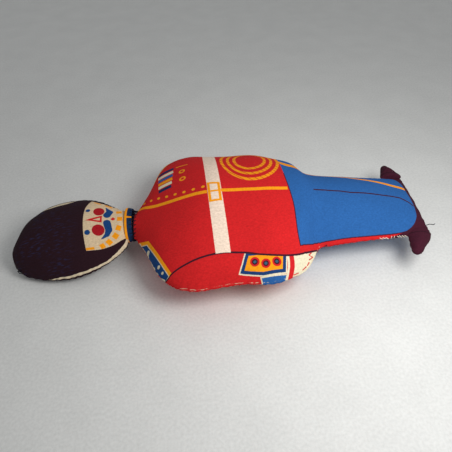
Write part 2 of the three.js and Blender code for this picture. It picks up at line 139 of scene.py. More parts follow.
def set_coordinates(piece: bpy.types.Object, points: np.ndarray) -> None:
    """Moves a piece's vertices to the given rows of x, y and z."""
    piece.data.vertices.foreach_set("co", np.ascontiguousarray(points, float).ravel())
    piece.data.update()


def carry_cut(piece: bpy.types.Object, cut: np.ndarray) -> None:
    """Gives each vertex its place in the cut, in millimetres, for the print to read."""
    attribute = piece.data.attributes.new("cut", "FLOAT_VECTOR", "POINT")
    attribute.data.foreach_set("vector", cut.astype(np.float32).ravel())


def placed(points: np.ndarray, matrix: Matrix) -> np.ndarray:
    """Points of a piece's own frame, turned and moved by its matrix."""
    whole = np.array(matrix)
    return points @ whole[:3, :3].T + whole[:3, 3]


# Shader sums and inks


class Expr:
    """A number that shader nodes work out, written with ordinary operators."""

    def __init__(self, sheet: "Sheet", socket: bpy.types.NodeSocket) -> None:
        """Keeps the socket that carries the number.

        Args:
            sheet: The material's nodes.
            socket: The output that gives the number.
        """
        self.sheet = sheet
        self.socket = socket

    def __add__(self, other: "Term") -> "Expr":
        """The sum."""
        return self.sheet.math("ADD", self, other)

    def __sub__(self, other: "Term") -> "Expr":
        """The difference."""
        return self.sheet.math("SUBTRACT", self, other)

    def __mul__(self, other: "Term") -> "Expr":
        """The product."""
        return self.sheet.math("MULTIPLY", self, other)

    def __radd__(self, other: float) -> "Expr":
        """The sum, with the number first."""
        return self.sheet.math("ADD", other, self)

    def __rsub__(self, other: float) -> "Expr":
        """The difference, with the number first."""
        return self.sheet.math("SUBTRACT", other, self)

    def __rmul__(self, other: float) -> "Expr":
        """The product, with the number first."""
        return self.sheet.math("MULTIPLY", other, self)

    def __abs__(self) -> "Expr":
        """The number without its sign."""
        return self.sheet.math("ABSOLUTE", self)

    def __and__(self, other: "Term") -> "Expr":
        """The lesser of two numbers, which is where two shapes overlap."""
        return self.sheet.math("MINIMUM", self, other)

    def __or__(self, other: "Term") -> "Expr":
        """The greater of two numbers, which is two shapes together."""
        return self.sheet.math("MAXIMUM", self, other)

    def scaled(self, gain: float, offset: float, clamp: bool = False) -> "Expr":
        """The number times a gain, plus an offset."""
        return self.sheet.math("MULTIPLY_ADD", self, gain, offset, clamp=clamp)

    def sine(self) -> "Expr":
        """The sine of the number."""
        return self.sheet.math("SINE", self)

    def repeat(self, low: float, high: float) -> "Expr":
        """The number wrapped into a span, so that what is drawn with it repeats."""
        return self.sheet.math("WRAP", self, high, low)

    def mask(self, soft: float = 0.3) -> "Expr":
        """1 inside a shape and 0 outside it.

        Args:
            soft: The width of the edge, in the units of the number.
        """
        return self.scaled(1 / soft, 0.5, clamp=True)


Term = Expr | float


class Sheet:
    """The nodes of one material, with one way to add each kind."""

    def __init__(self, name: str, roughness: float = 0.9) -> None:
        """Makes a material with a Principled shader.

        Args:
            name: The material's name.
            roughness: The shader's roughness.
        """
        self.material = bpy.data.materials.new(name)
        self.material.use_nodes = True
        self.tree = self.material.node_tree
        self.shader = self.tree.nodes["Principled BSDF"]
        self.shader.inputs["Roughness"].default_value = roughness
        self.shader.inputs["Specular IOR Level"].default_value = 0.15

    def node(self, kind: str, inputs: dict[int | str, object], **settings: object) -> bpy.types.Node:
        """Adds any node.

        Args:
            kind: The node's type, without ShaderNode before it.
            inputs: Values, sums or sockets for its inputs, by name or number.
            **settings: The node's own settings.

        Returns:
            The node.
        """
        node = self.tree.nodes.new(f"ShaderNode{kind}")
        for name, value in settings.items():
            setattr(node, name, value)
        for key, value in inputs.items():
            self.feed(node.inputs[key], value)
        return node

    def feed(self, socket: bpy.types.NodeSocket, value: object) -> None:
        """Links or sets one input.

        Args:
            socket: The input.
            value: A sum, a socket, a colour or a plain value.
        """
        if isinstance(value, Expr):
            self.tree.links.new(value.socket, socket)
        elif isinstance(value, bpy.types.NodeSocket):
            self.tree.links.new(value, socket)
        elif socket.type == "RGBA":
            socket.default_value = (*value, 1)
        else:
            socket.default_value = value

    def math(self, operation: str, *terms: Term, clamp: bool = False) -> Expr:
        """A number from a Math node over one to three numbers."""
        node = self.node("Math", dict(enumerate(terms)), operation=operation, use_clamp=clamp)
        return Expr(self, node.outputs[0])

    def vector(self, operation: str, *terms: object) -> bpy.types.NodeSocket:
        """A vector from a Vector Math node."""
        return self.node("VectorMath", dict(enumerate(terms)), operation=operation).outputs["Vector"]

    def measure(self, operation: str, *terms: object) -> Expr:
        """A number from a Vector Math node, such as a length or a dot product."""
        node = self.node("VectorMath", dict(enumerate(terms)), operation=operation)
        return Expr(self, node.outputs["Value"])

    def parts(self, vector: bpy.types.NodeSocket) -> list[Expr]:
        """The three numbers of a vector."""
        return [Expr(self, output) for output in self.node("SeparateXYZ", {0: vector}).outputs]

    def joined(self, *numbers: Term) -> bpy.types.NodeSocket:
        """A vector of two or three numbers."""
        return self.node("CombineXYZ", dict(enumerate(numbers))).outputs[0]

    def noise(self, where: bpy.types.NodeSocket, scale: float, detail: float = 0.0) -> Expr:
        """Smooth noise from 0 to 1."""
        inputs = {"Vector": where, "Scale": scale, "Detail": detail}
        return Expr(self, self.node("TexNoise", inputs).outputs["Fac"])

    def shade(self, colour: object) -> None:
        """Gives the shader its colour."""
        self.feed(self.shader.inputs["Base Color"], colour)

    def finish(self) -> bpy.types.Material:
        """The finished material."""
        return self.material


class Ink(Sheet):
    """Colours printed on cloth one over the other, at places in the cut, in millimetres."""

    # How finely the edges of the print wander
    RAGGED_SCALE = 0.9
    # The uneven dye: the scale, the gain and the offset of its broad and its fine patches
    WASH = (0.045, 0.14, 0.93)
    MOTTLE = (0.5, 0.5, 0.75)
    # How far threads run in the weave's noise, along and across themselves
    SLUB = (0.35, 1.9)

    def __init__(self, name: str, ground: Colour, ragged: float = 0.25) -> None:
        """Reads the place in the cut and lays the ground colour.

        Args:
            name: The material's name.
            ground: The colour of the cloth.
            ragged: How far the edges of the print wander.
        """
        super().__init__(name)
        self.colour: object = ground
        self.cut = self.node("Attribute", {}, attribute_name="cut").outputs["Vector"]
        self.inside = self.parts(self.cut)[2]
        blur = self.node("TexNoise", {"Vector": self.cut, "Scale": self.RAGGED_SCALE, "Detail": 1.0})
        shift = self.vector("MULTIPLY_ADD", blur.outputs["Color"], (2 * ragged,) * 3, (-ragged,) * 3)
        moved = self.vector("ADD", self.cut, shift)
        self.place = self.vector("MULTIPLY_ADD", moved, (1, 1, 0), (0, 0, 1))
        self.along, self.across, _ = self.parts(self.place)

    @contextmanager
    def folded(self, shift: float) -> Iterator[Expr]:
        """Prints what follows at the near side, and mirrored at the far side.

        Args:
            shift: How much further out the far copy lies.

        Yields:
            The place across the near side, which both sides share.
        """
        straight = (self.place, self.across)
        self.across = (shift - self.across) & self.across
        self.place = self.joined(self.along, self.across, 1.0)
        yield self.across
        self.place, self.across = straight

    def over(self, shape: Expr, colour: Colour) -> None:
        """Prints a colour over what is there.

        Args:
            shape: The distance in from the shape's edge.
            colour: The ink.
        """
        self.blend(shape.mask(), colour)

    def blend(self, mask: Expr, colour: Colour) -> None:
        """Mixes a colour over what is there by a mask."""
        inputs = {0: mask, 6: self.colour, 7: colour}
        self.colour = self.node("Mix", inputs, data_type="RGBA").outputs[2]

    def bands(self, shape: Expr, *bands: tuple[float, Colour], within: Expr | None = None) -> None:
        """Prints colours inside one another.

        Args:
            shape: The distance in from the outer shape's edge.
            *bands: How far in from that edge each colour starts, and the colour.
            within: A shape that all of them stop at.
        """
        for inset, colour in bands:
            band = shape - inset
            self.over(band if within is None else band & within, colour)

    def rounds(self, middle: Point, *rounds: tuple[float, Colour]) -> None:
        """Prints discs about one centre, each with its radius and its colour."""
        for radius, colour in rounds:
            self.over(self.disc(middle, radius), colour)

    def side(self, first: Point, second: Point) -> Expr:
        """A straight line's left side.

        Args:
            first: The point that the line comes from.
            second: The point that it goes to.

        Returns:
            The distance to the left of the line.
        """
        run, rise = second[0] - first[0], second[1] - first[1]
        length = math.hypot(run, rise)
        normal = (-rise / length, run / length)
        offset = -(normal[0] * first[0] + normal[1] * first[1])
        return self.measure("DOT_PRODUCT", self.place, (*normal, offset))

    def polygon(self, *points: Point) -> Expr:
        """A convex polygon.

        Args:
            *points: Its corners, either way round.

        Returns:
            The distance in from its edge.
        """
        turn = sum(a[0] * b[1] - a[1] * b[0] for a, b in zip(points, (*points[1:], points[0])))
        if turn < 0:
            points = points[::-1]
        inside = self.side(points[-1], points[0])
        for first, second in zip(points, points[1:]):
            inside = inside & self.side(first, second)
        return inside

    def disc(self, middle: Point, radius: float, stretch: Point = (1.0, 1.0)) -> Expr:
        """A disc, or an ellipse.

        Args:
            middle: The centre.
            radius: The radius.
            stretch: An ellipse's reach along and across, as shares of the radius.

        Returns:
            The distance in from its edge.
        """
        place = self.place
        if stretch != (1.0, 1.0):
            place = self.vector("MULTIPLY", place, (1 / stretch[0], 1 / stretch[1], 1))
        centre = (middle[0] / stretch[0], middle[1] / stretch[1], 1)
        return radius - self.measure("DISTANCE", place, centre)

    def tile(self, middle: Point, size: Point, slant: float) -> Expr:
        """A rectangle.

        Args:
            middle: The centre.
            size: The length and the width.
            slant: How far the length is turned from the cut's length, in degrees.

        Returns:
            The distance in from its edge.
        """
        turn = Matrix.Rotation(math.radians(slant), 2)
        corners = ((1, 1), (-1, 1), (-1, -1), (1, -1))
        halves = (Vector((a * size[0] / 2, b * size[1] / 2)) for a, b in corners)
        return self.polygon(*(tuple(Vector(middle) + turn @ half) for half in halves))

    def stroke(self, first: Point, second: Point, width: float, end_width: float | None = None) -> Expr:
        """A straight stroke with round ends.

        Args:
            first: One end.
            second: The other end.
            width: The width at the first end.
            end_width: The width at the other end, if it tapers.

        Returns:
            The distance in from its edge.
        """
        run, rise = second[0] - first[0], second[1] - first[1]
        square = run * run + rise * rise
        offset = -(first[0] * run + first[1] * rise) / square
        dot = self.measure("DOT_PRODUCT", self.place, (run / square, rise / square, offset))
        share = dot.scaled(1, 0, clamp=True)
        nearest = self.vector("MULTIPLY_ADD", share.socket, (run, rise, 0), (*first, 1))
        away = self.measure("DISTANCE", self.place, nearest)
        if end_width is None:
            return width / 2 - away
        return share.scaled((end_width - width) / 2, width / 2) - away

    def path(self, points: Sequence[Point], width: float) -> Expr:
        """A line through several points.

        Args:
            points: The points, in order.
            width: The line's width.

        Returns:
            The distance in from its edge.
        """
        strokes = [self.stroke(a, b, width) for a, b in zip(points, points[1:])]
        whole = strokes[0]
        for stroke in strokes[1:]:
            whole = whole | stroke
        return whole

    def curve(self, points: Sequence[Point], of: Expr) -> Expr:
        """A smooth curve through points.

        Args:
            points: Pairs of a number and the curve's value there, with rising numbers.
            of: The number that it is read at.

        Returns:
            The curve's value.
        """
        xs, ys = zip(*points)
        first, reach = xs[0], xs[-1] - xs[0]
        low, high = min(ys), max(ys)
        node = self.node("FloatCurve", {"Value": of.scaled(1 / reach, -first / reach)})
        knots = node.mapping.curves[0].points
        placed = [((x - first) / reach, (y - low) / (high - low)) for x, y in points]
        knots[0].location = placed[0]
        knots[-1].location = placed[-1]
        for knot in placed[1:-1]:
            knots.new(*knot)
        node.mapping.update()
        return Expr(self, node.outputs[0]).scaled(high - low, low)

    def finish(self, grain: float = 0.16, pitch: float = 0.62) -> bpy.types.Material:
        """Adds the weave and the uneven dye, and joins the print to the shader.

        Args:
            grain: How much the colour varies from thread to thread.
            pitch: The distance between threads.

        Returns:
            The material.
        """
        warp = self.vector("MULTIPLY", self.cut, (*self.SLUB, 0))
        weft = self.vector("MULTIPLY", self.cut, (*self.SLUB[::-1], 0))
        both = (self.noise(warp, 1.0, 2.0) + self.noise(weft, 1.0, 2.0)).scaled(0.5, 0)
        wash = self.noise(self.cut, self.WASH[0], 2.0).scaled(*self.WASH[1:])
        mottle = self.noise(self.cut, self.MOTTLE[0], 1.0).scaled(*self.MOTTLE[1:])
        level = both.scaled(2 * grain, 1 - grain) * wash * mottle
        self.shade(self.vector("MULTIPLY", self.colour, level.socket))
        turn = math.pi / pitch
        weave = self.along.scaled(turn, 0).sine() * self.across.scaled(turn, 0).sine()
        height = weave.scaled(0.06, 0) + both.scaled(0.12, 0)
        bump = self.node("Bump", {"Height": height, "Distance": MM, "Strength": 0.7})
        self.feed(self.shader.inputs["Normal"], bump.outputs[0])
        return super().finish()


# The inks and the finishes

RED = linear(208, 33, 35)
BLUE = linear(42, 96, 160)
BLUE_DARK = linear(24, 68, 124)
BLUE_PALE = linear(60, 96, 116)
CUFF_BLUE = linear(24, 60, 112)
# The collar's blue, with painted shade darkening it below its own colour
COLLAR_BLUE_SHADED = linear(20, 46, 80)
NAVY = linear(26, 44, 88)
BELT = linear(246, 222, 200)
CREAM = linear(232, 222, 190)
BARE = linear(228, 210, 178)
FACE = linear(222, 197, 160)
CHEEK = linear(172, 26, 34)
YELLOW = linear(252, 160, 20)
LINE = linear(62, 22, 36)
MAROON = linear(66, 22, 38)
# Painted shade for the boot's ankle crease
CREASE_SHADE = linear(30, 10, 20)
FUR = linear(43, 21, 29)
FUR_LIGHT = linear(46, 48, 84)
TABLE = linear(226, 226, 222)
DARK_THREAD = linear(26, 22, 34)
PALE_THREAD = linear(232, 224, 206)


class TunicPrint(Ink):
    """The printed cloth of shoulders, arms, tunic, belt and trousers."""

    # Lines along the doll: places across at places along
    NEAR_EDGE = (
        (158, -67.9), (171.5, -63.9), (184.5, -56.6), (197, -53.6), (212, -50.9),
        (226.6, -49.3), (246, -47.1), (263.4, -44.6), (274, -41.8), (284, -40),
    )
    STRIPE = (
        (157, 46), (162, 41), (168, 38), (175, 37), (185, 37.4), (202, 36.8),
        (222, 33), (243, 27), (262, 20.4), (275, 16.2), (289, 13.4),
    )
    STRIPE_WIDTH = ((157, 4.4), (168, 4.2), (178, 3.4), (192, 2.3), (289, 2.2))
    LEG_LINE = (
        (186.1, -1.5), (197.8, -0.4), (212.8, -0.8), (222.5, -2.4), (237.9, -2.3),
        (264.7, -3), (275, -4.4), (282.5, -8.6), (287, -12),
    )
    ARM = (
        (37, -87.6), (41, -84.6), (45, -81.7), (61, -77), (76.8, -74.3), (87.1, -73.1), (98.4, -72.3),
        (112.8, -73), (126.6, -75.8), (141.3, -77), (156.7, -75.4), (166.8, -72.4), (173, -69.4),
        (181, -64.6), (193, -58),
    )
    PLACKET = (
        (0, 9.2), (6.5, 8), (20.4, 1.5), (38.8, -3.8), (55.4, -6.1), (70.8, -7.3),
        (80.5, -8.2), (97.1, -8), (112.9, -7.3), (131.3, -7.6), (158, -5.8),
    )
    STUDS = (
        (2, 18), (10.4, 14.6), (20.4, 11), (31.8, 7.7), (41.4, 4.4), (51.3, 2.3), (60.7, 0.5), (80, -0.5),
    )

    # Lines across the doll: places along at places across
    HEM = (
        (-70, 162), (-60.6, 160.3), (-51.5, 159.8), (-41.2, 160), (-29.1, 160.3),
        (-17.7, 159.9), (-4, 159), (16, 157.8), (43, 157.4),
    )
    TROUSER_ENDS = (
        (-46, 262), (-41.3, 272), (-36, 278.8), (-29.7, 283.7), (-23.5, 286.6), (-14, 288),
        (12, 288), (20, 289), (28, 287), (37, 279), (44, 266),
    )
    WRIST = ((-100, 143.5), (-96, 145.2), (-90, 147), (-84, 148), (-76, 147.6))

    # Shapes on the near shoulder, arm and waist
    STRAP = ((3, -29.6), (20.6, -38.8), (45.6, -83), (20, -110))
    STRAP_BUTTONS = (((19.1, -49.4), 2.2), ((31.6, -70.4), 1.6), ((35.4, -77.4), 1.3))
    CUFF = ((111.5, -72), (104.5, -91.5), (126, -94.6), (146.6, -91.8), (148.6, -72))
    CUFF_TAIL = ((123, -94.8), (126.6, -112), (151, -112), (147.4, -92))
    CUFF_BUTTONS = ((119.2, -81.4), (128.6, -83.6), (138.2, -82.4))
    FINGERS = (
        ((172.6, -70.6), (169.0, -73.8)),
        ((169.0, -73.8), (173.4, -74.0)),
        ((173.4, -74.0), (169.2, -77.8)),
        ((168.6, -80.2), (166.4, -83.4)),
        ((165.2, -84.8), (161.6, -88.0)),
        ((157.0, -90.6), (153.0, -92.6)),
    )
    BUCKLE = ((82.4, 4.4), (83.8, -22.2), (95.6, -21), (94.6, 3.4))
    PRONG = ((84.5, -8.6), (94, -8.2))

    # Ornaments on the breast and the hip, and the back's buttons
    RIBBONS = (NAVY, CREAM, YELLOW, BLUE, CREAM, NAVY)
    RIBBON_START = 15.5
    RIBBON_PITCH = 6.6
    RIBBON_FAN = 0.7
    RINGS = ((57.5, 24), (56.5, 38.5))
    DASH = ((49.5, 52), (62, 51.4))
    CORD_MIDDLE = (127, 49)
    CORD_STRETCH = (0.78, 1.14)
    CORD_RADII = (20, 28.5, 37)
    BACK_BUTTONS = ((84, 8), (84, -8))

    # Half widths of bands and lines
    BELT_HALF = 6.5
    BRAID_HALF = 2.0
    CORD_HALF = 1.9
    ARM_LINE_HALF = 0.85
    HEM_LINE_HALF = 0.45
    BARE_LINE_HALF = 0.34
    BACK_SEAM_HALF = 0.4

    # Where stretches lie along the doll, how the belt slants, and how far out the far shoulder is
    STRAP_END = 46.0
    ARM_SPAN = (38.0, 192.0)
    BELT_AT = 88.9
    BELT_SLANT = 0.053
    BRAID_BREAK = (88.8, 6.4)
    STUD_AT = 11.6
    STUD_PITCH = 9.6
    STUD_RADIUS = 1.75
    STUDS_END = 81.5
    TUNIC_END = 157.7
    BACK_SEAM_END = 157.0
    BARE_START = 52.0
    FAR_SHIFT = 5.0

    def __init__(self, side: Side) -> None:
        """Prints one panel of the body.

        Args:
            side: The front has the placket, the ribbons and the cord; the back is plainer.
        """
        super().__init__(f"tunic {side.name.lower()} print", RED)
        front = side is Side.FRONT
        self.trousers(front)
        with self.folded(self.FAR_SHIFT) as folded:
            if front:
                self.straps()
            arm = self.arms()
        body = folded - arm
        self.belt(body)
        if front:
            self.placket()
            self.buckle()
            self.ribbons()
            self.cord(body)
        else:
            self.back_seam()
        self.bare_edge()

    def trousers(self, front: bool) -> None:
        """Trousers, with a yellow stripe at the far side and a red one at the near side.

        Args:
            front: Whether a line parts the legs.
        """
        along, across = self.along, self.across
        hem = along - self.curve(self.HEM, across)
        trousers = hem & (across - self.curve(self.NEAR_EDGE, along))
        self.over(trousers, BLUE)
        stripe = self.curve(self.STRIPE_WIDTH, along) - abs(across - self.curve(self.STRIPE, along))
        self.over(stripe & hem, YELLOW)
        self.over((self.HEM_LINE_HALF - abs(trousers)) & (18 - across), LINE)
        if front:
            self.over(self.path(self.LEG_LINE, 1.6), LINE)
        self.over(along - self.curve(self.TROUSER_ENDS, across), MAROON)

    def straps(self) -> None:
        """Shoulder straps with a blue middle, three buttons and an unprinted end at the seam."""
        strap = self.polygon(*self.STRAP)
        self.bands(strap, (0.0, YELLOW), (2.8, CREAM), (3.4, BLUE_DARK))
        for middle, radius in self.STRAP_BUTTONS:
            self.over(self.disc(middle, radius), CREAM)
        ragged = self.noise(self.cut, 0.2, 1.0).scaled(5.0, -1.2)
        self.over((ragged - self.inside) & (self.STRAP_END - self.along) & strap, CREAM)

    def arms(self) -> Expr:
        """Sleeves, cuffs and hands.

        Returns:
            The line between the arm and the body, as a place across the cut.
        """
        start, end = self.ARM_SPAN
        span = (self.along - start) & (end - self.along)
        arm = self.curve(self.ARM, self.along)
        sleeve = (arm - self.across) & span
        self.over(sleeve, RED)
        cuff = self.polygon(*self.CUFF)
        self.bands(cuff, (0.0, CREAM), (1.1, CUFF_BLUE), (3.9, YELLOW), within=sleeve)
        for middle in self.CUFF_BUTTONS:
            self.rounds(middle, (4.1, RED), (2.5, LINE), (1.3, BLUE_PALE))
        self.bands(self.polygon(*self.CUFF_TAIL), (0.0, CREAM), (1.0, BLUE), within=sleeve)
        wrist = self.along - self.curve(self.WRIST, self.across)
        self.over(wrist & sleeve, CREAM)
        self.over((wrist - 1.9) & (6.2 - wrist) & sleeve, RED)
        for first, second in self.FINGERS:
            self.over(self.stroke(first, second, 0.9), RED)
        self.over((self.ARM_LINE_HALF - abs(self.across - arm)) & span, LINE)
        return arm

    def belt(self, body: Expr) -> None:
        """A cream belt from arm to arm, a little aslant.

        Args:
            body: The shape between the arms.
        """
        belt = self.BELT_HALF - abs(self.along + self.across.scaled(self.BELT_SLANT, -self.BELT_AT))
        self.over(belt & body, BELT)

    def placket(self) -> None:
        """A yellow braid down to the tunic's end, broken at the belt, and a row of studs."""
        along, across = self.along, self.across
        middle, half = self.BRAID_BREAK
        braid = self.BRAID_HALF - abs(across - self.curve(self.PLACKET, along))
        self.over(braid & (self.TUNIC_END - along) & (abs(along - middle) - half), YELLOW)
        step = (along - self.STUD_AT).repeat(-self.STUD_PITCH / 2, self.STUD_PITCH / 2)
        spot = self.joined(step, across - self.curve(self.STUDS, along))
        studs = self.STUD_RADIUS - self.measure("LENGTH", spot)
        self.over(studs & (self.STUDS_END - along), YELLOW)

    def buckle(self) -> None:
        """A plain frame with one prong."""
        self.bands(self.polygon(*self.BUCKLE), (0.0, YELLOW), (2.5, BELT))
        self.over(self.stroke(*self.PRONG, 2.2), YELLOW)

    def ribbons(self) -> None:
        """A bar of plain ribbons that fans out to the far side, two rings and a dash."""
        for k, colour in enumerate(self.RIBBONS):
            low = self.RIBBON_START + k * self.RIBBON_PITCH
            top = 30.5 - self.RIBBON_FAN * k
            foot = 45.5 + self.RIBBON_FAN * k / 3
            ribbon = self.polygon((top, low), (foot, low + 1), (foot - 0.7, low + 6), (top - 0.5, low + 5))
            self.over(ribbon, colour)
        for middle in self.RINGS:
            self.rounds(middle, (3.6, YELLOW), (1.8, RED))
        self.over(self.stroke(*self.DASH, 1.4), YELLOW)

    def cord(self, body: Expr) -> None:
        """A twisted cord in three loops from the far arm.

        Args:
            body: The shape between the arms.
        """
        twist = (self.along + self.across * 0.9).sine() + 0.86
        for radius in self.CORD_RADII:
            loop = self.CORD_HALF - abs(self.disc(self.CORD_MIDDLE, radius, self.CORD_STRETCH))
            self.over(loop & body & twist, YELLOW)

    def back_seam(self) -> None:
        """Two buttons at the waist of the back, and its middle seam."""
        for middle in self.BACK_BUTTONS:
            self.over(self.disc(middle, 3), YELLOW)
        self.over((self.BACK_SEAM_HALF - abs(self.across)) & (self.BACK_SEAM_END - self.along), LINE)

    def bare_edge(self) -> None:
        """A broken line of cloth without print along the near seam."""
        broken = self.noise(self.cut, 0.3, 3.0).scaled(7, -3.3, clamp=True)
        wander = self.noise(self.cut, 0.08, 2.0).scaled(3.0, 0)
        bare = (self.BARE_LINE_HALF - abs(self.inside - wander)) & (-60 - self.across)
        bare = bare & (self.along - self.BARE_START)
        self.blend(bare.mask(0.5) * broken.scaled(0.75, 0), BARE)


class HeadPrint(Ink):
    """The printed cloth of the fur cap and the face."""

    # The face's outline: places along at places across for the brim, the other way for the jaws
    BRIM = ((-36, 41.4), (-25, 44.4), (-14.4, 46.2), (5, 46.8), (20, 46.4), (29, 46))
    JAW = ((0, 15), (11, 19.4), (17, 22.6), (23.5, 25.4), (33.2, 28.1), (39, 28.6), (47, 28.6))
    FAR_JAW = ((0, -26), (11, -25.4), (20.9, -25.6), (28.3, -28.2), (35.5, -31), (43, -36))

    # The features, the larger eye and cheek at the near side
    EYES = (((43.2, 11), 2.6), ((42.8, -15.2), 2.2))
    CHEEK_NEAR = ((33, 9), 5.9, (1.0, 1.0))
    CHEEK_FAR = ((32.5, -13.6), 5.2, (1.0, 1.1))
    NOSE = ((44.8, -2.4), (29.2, -7.8), (29.4, 1.0))
    NOSE_LIGHT = ((37.8, -2.6), (31, -5.0), (31.2, -1.5))
    MOUTH = ((21.4, -3), (19, -5.4), (16.6, -2.8), (19, -0.8))

    # The moustache: its middle, and strokes with the width at each end
    MOUSTACHE_MIDDLE = (24.6, 1.4)
    MOUSTACHE = (
        ((24.2, 3.2), (23.2, 9.2), 7.2, 6.6),
        ((23.2, 9.2), (25.2, 14), 6.6, 4.4),
        ((25.2, 14), (30.8, 18.2), 4.4, 0.8),
        ((24.6, -8.4), (22.4, -13), 7.2, 6.4),
        ((22.4, -13), (26.6, -20.4), 6.4, 0.8),
    )

    # The chin strap: links with their middle, length and width, and slant in degrees
    CHIN_STRAP = (
        ((42.2, 27.0), (7.6, 2.4), 2),
        ((30.8, 25.0), (4.8, 4.4), 28),
        ((24.2, 21.4), (5.2, 5.2), 40),
        ((17.6, 15.8), (5.4, 5.2), 48),
        ((14.0, 8.0), (5.4, 5.0), 68),
        ((12.4, -2.6), (5.4, 5.2), 88),
        ((13.8, -13.2), (4.6, 5.2), 100),
        ((24.6, -24), (8.0, 2.6), 152),
        ((35.6, -29), (8.0, 1.8), 152),
    )

    # Cloth without print: the near strip's start and half width in from the seam, and the far sliver's
    # middle and half width
    STRIP_START = ((8, 0.6), (20, 0.5), (32, 0.9), (50, 1.8), (62, 1.8), (80, 1.0), (90, 0.6))
    STRIP_HALF = ((8, 2.6), (20, 1.7), (32, 1.2), (50, 1.4), (62, 1.3), (80, 0.7), (90, -0.6))
    SLIVER = ((60, 9), (68, 12.4), (76, 13), (84, 13.6), (92, 11.4), (102, 7))
    SLIVER_HALF = ((57, -0.8), (64, 2), (72, 3.4), (79, 3.2), (86, 1.8), (94, 0.4), (99, -1))

    def __init__(self, side: Side) -> None:
        """Prints one panel of the head.

        Args:
            side: The front has the face; the back is fur all over.
        """
        super().__init__(f"head {side.name.lower()} print", FUR)
        self.fur()
        if side is Side.FRONT:
            self.face()
            self.bare_edges()

    def fur(self) -> None:
        """Paler strokes scattered over the fur above the brow."""
        tufts = self.vector("MULTIPLY", self.cut, (0.16, 0.75, 0))
        strokes = self.noise(tufts, 1.0, 1.0).scaled(9, -4.9, clamp=True)
        patches = self.noise(self.cut, 0.05, 1.0).scaled(3, -0.9, clamp=True)
        brow = (self.along - 50).scaled(0.1, 0, clamp=True)
        self.blend(strokes * patches * brow.scaled(0.55, 0.0), FUR_LIGHT)

    def face(self) -> None:
        """Eyes, cheeks, nose, moustache, mouth and the yellow chin strap."""
        brim = self.curve(self.BRIM, self.across)
        jaw = self.curve(self.JAW, self.along)
        far_jaw = self.curve(self.FAR_JAW, self.along)
        face = (brim - self.along) & (jaw - self.across) & (self.across - far_jaw)
        self.over(face, FACE)
        for middle, radius in self.EYES:
            self.over(self.disc(middle, radius), BLUE_DARK)
        for cheek in (self.CHEEK_NEAR, self.CHEEK_FAR):
            self.over(self.disc(*cheek), CHEEK)
        self.over(self.polygon(*self.NOSE), RED)
        self.over(self.polygon(*self.NOSE_LIGHT), FACE)
        self.over(self.disc(self.MOUSTACHE_MIDDLE, 3.6), BLUE_DARK)
        for first, second, width, end_width in self.MOUSTACHE:
            self.over(self.stroke(first, second, width, end_width), BLUE_DARK)
        self.over(self.polygon(*self.MOUTH), RED)
        for middle, size, slant in self.CHIN_STRAP:
            self.over(self.tile(middle, size, slant) & face, YELLOW)

    def bare_edges(self) -> None:
        """Cloth without print: a strip along the near seam, wide at the neck, and a far sliver."""
        half = self.curve(self.STRIP_HALF, self.along)
        start = self.curve(self.STRIP_START, self.along)
        wander = self.noise(self.cut, 0.14, 1.0).scaled(1.6, -0.8)
        self.over((half - abs(self.inside - start - half + wander)) & self.across, BARE)
        middle = self.curve(self.SLIVER, self.along)
        half = self.curve(self.SLIVER_HALF, self.along)
        sliver = (half - abs(self.inside - middle)) & (-10 - self.across)
        self.over(sliver & (self.along - 59) & (104 - self.along), BARE)


class CollarPrint(Ink):
    """The collar's blue cloth, darkened with painted shade, with its yellow edge, and bare cloth at the near
    end.
    """

    def __init__(self) -> None:
        """Prints the whole band."""
        # The ground is the collar's blue with painted shade in it
        super().__init__("collar print", COLLAR_BLUE_SHADED, ragged=0.0)
        along, far, up = self.parts(self.cut)
        self.over((1.1 - abs(far - 1.5)) & up, YELLOW)
        self.over(along - 5.2, YELLOW)
        self.over(-18.0 - far, BARE)


class BootPrint(Ink):
    """The maroon cloth of the boots, with painted shade along the crease at the ankle."""

    def __init__(self) -> None:
        """Prints both panels of both boots alike."""
        super().__init__("boot print", MAROON)
        # Painted shade: a dark line along the ankle's crease, where the boot folds
        crease = 0.5 - abs(self.along - self.across.scaled(0.08, 2.6))
        self.blend(crease.mask(0.9) * 0.8, CREASE_SHADE)


class Spun(Sheet):
    """Twisted cotton thread."""

    def __init__(self, name: str, colour: Colour) -> None:
        """Gives the thread its colour."""
        super().__init__(name, 0.8)
        self.shade(colour)


class TableTop(Sheet):
    """A pale grey table, faintly mottled."""

    def __init__(self) -> None:
        """Lays fine flecks and broad clouds over the grey."""
        super().__init__("pale table", 0.55)
        where = self.node("TexCoord", {}).outputs["Object"]
        fleck = self.noise(where, 420.0, 3.0).scaled(0.3, 0.85)
        cloud = self.noise(where, 26.0, 2.0).scaled(0.12, 0.94)
        self.shade(self.vector("MULTIPLY", TABLE, (fleck * cloud).socket))


# Forms that are sewn flat and stuffed


@dataclass(frozen=True)
class Station:
    """A cross-section: its place, its seam edges at the low and high side, and its depths."""

    at: float
    low: float
    high: float
    front: float
    back: float
    lens: float = 1.4


def even(at: float, half: float, front: float, back: float, skew: float = 0.0, lens: float = 1.4) -> Station:
    """A station whose edges lie half its width to each side, moved to the high side by the skew."""
    return Station(at, half - skew, half + skew, front, back, lens)


def mix(start: float, end: float, share: float) -> float:
    """The number a share of the way from start to end."""
    return start + (end - start) * share


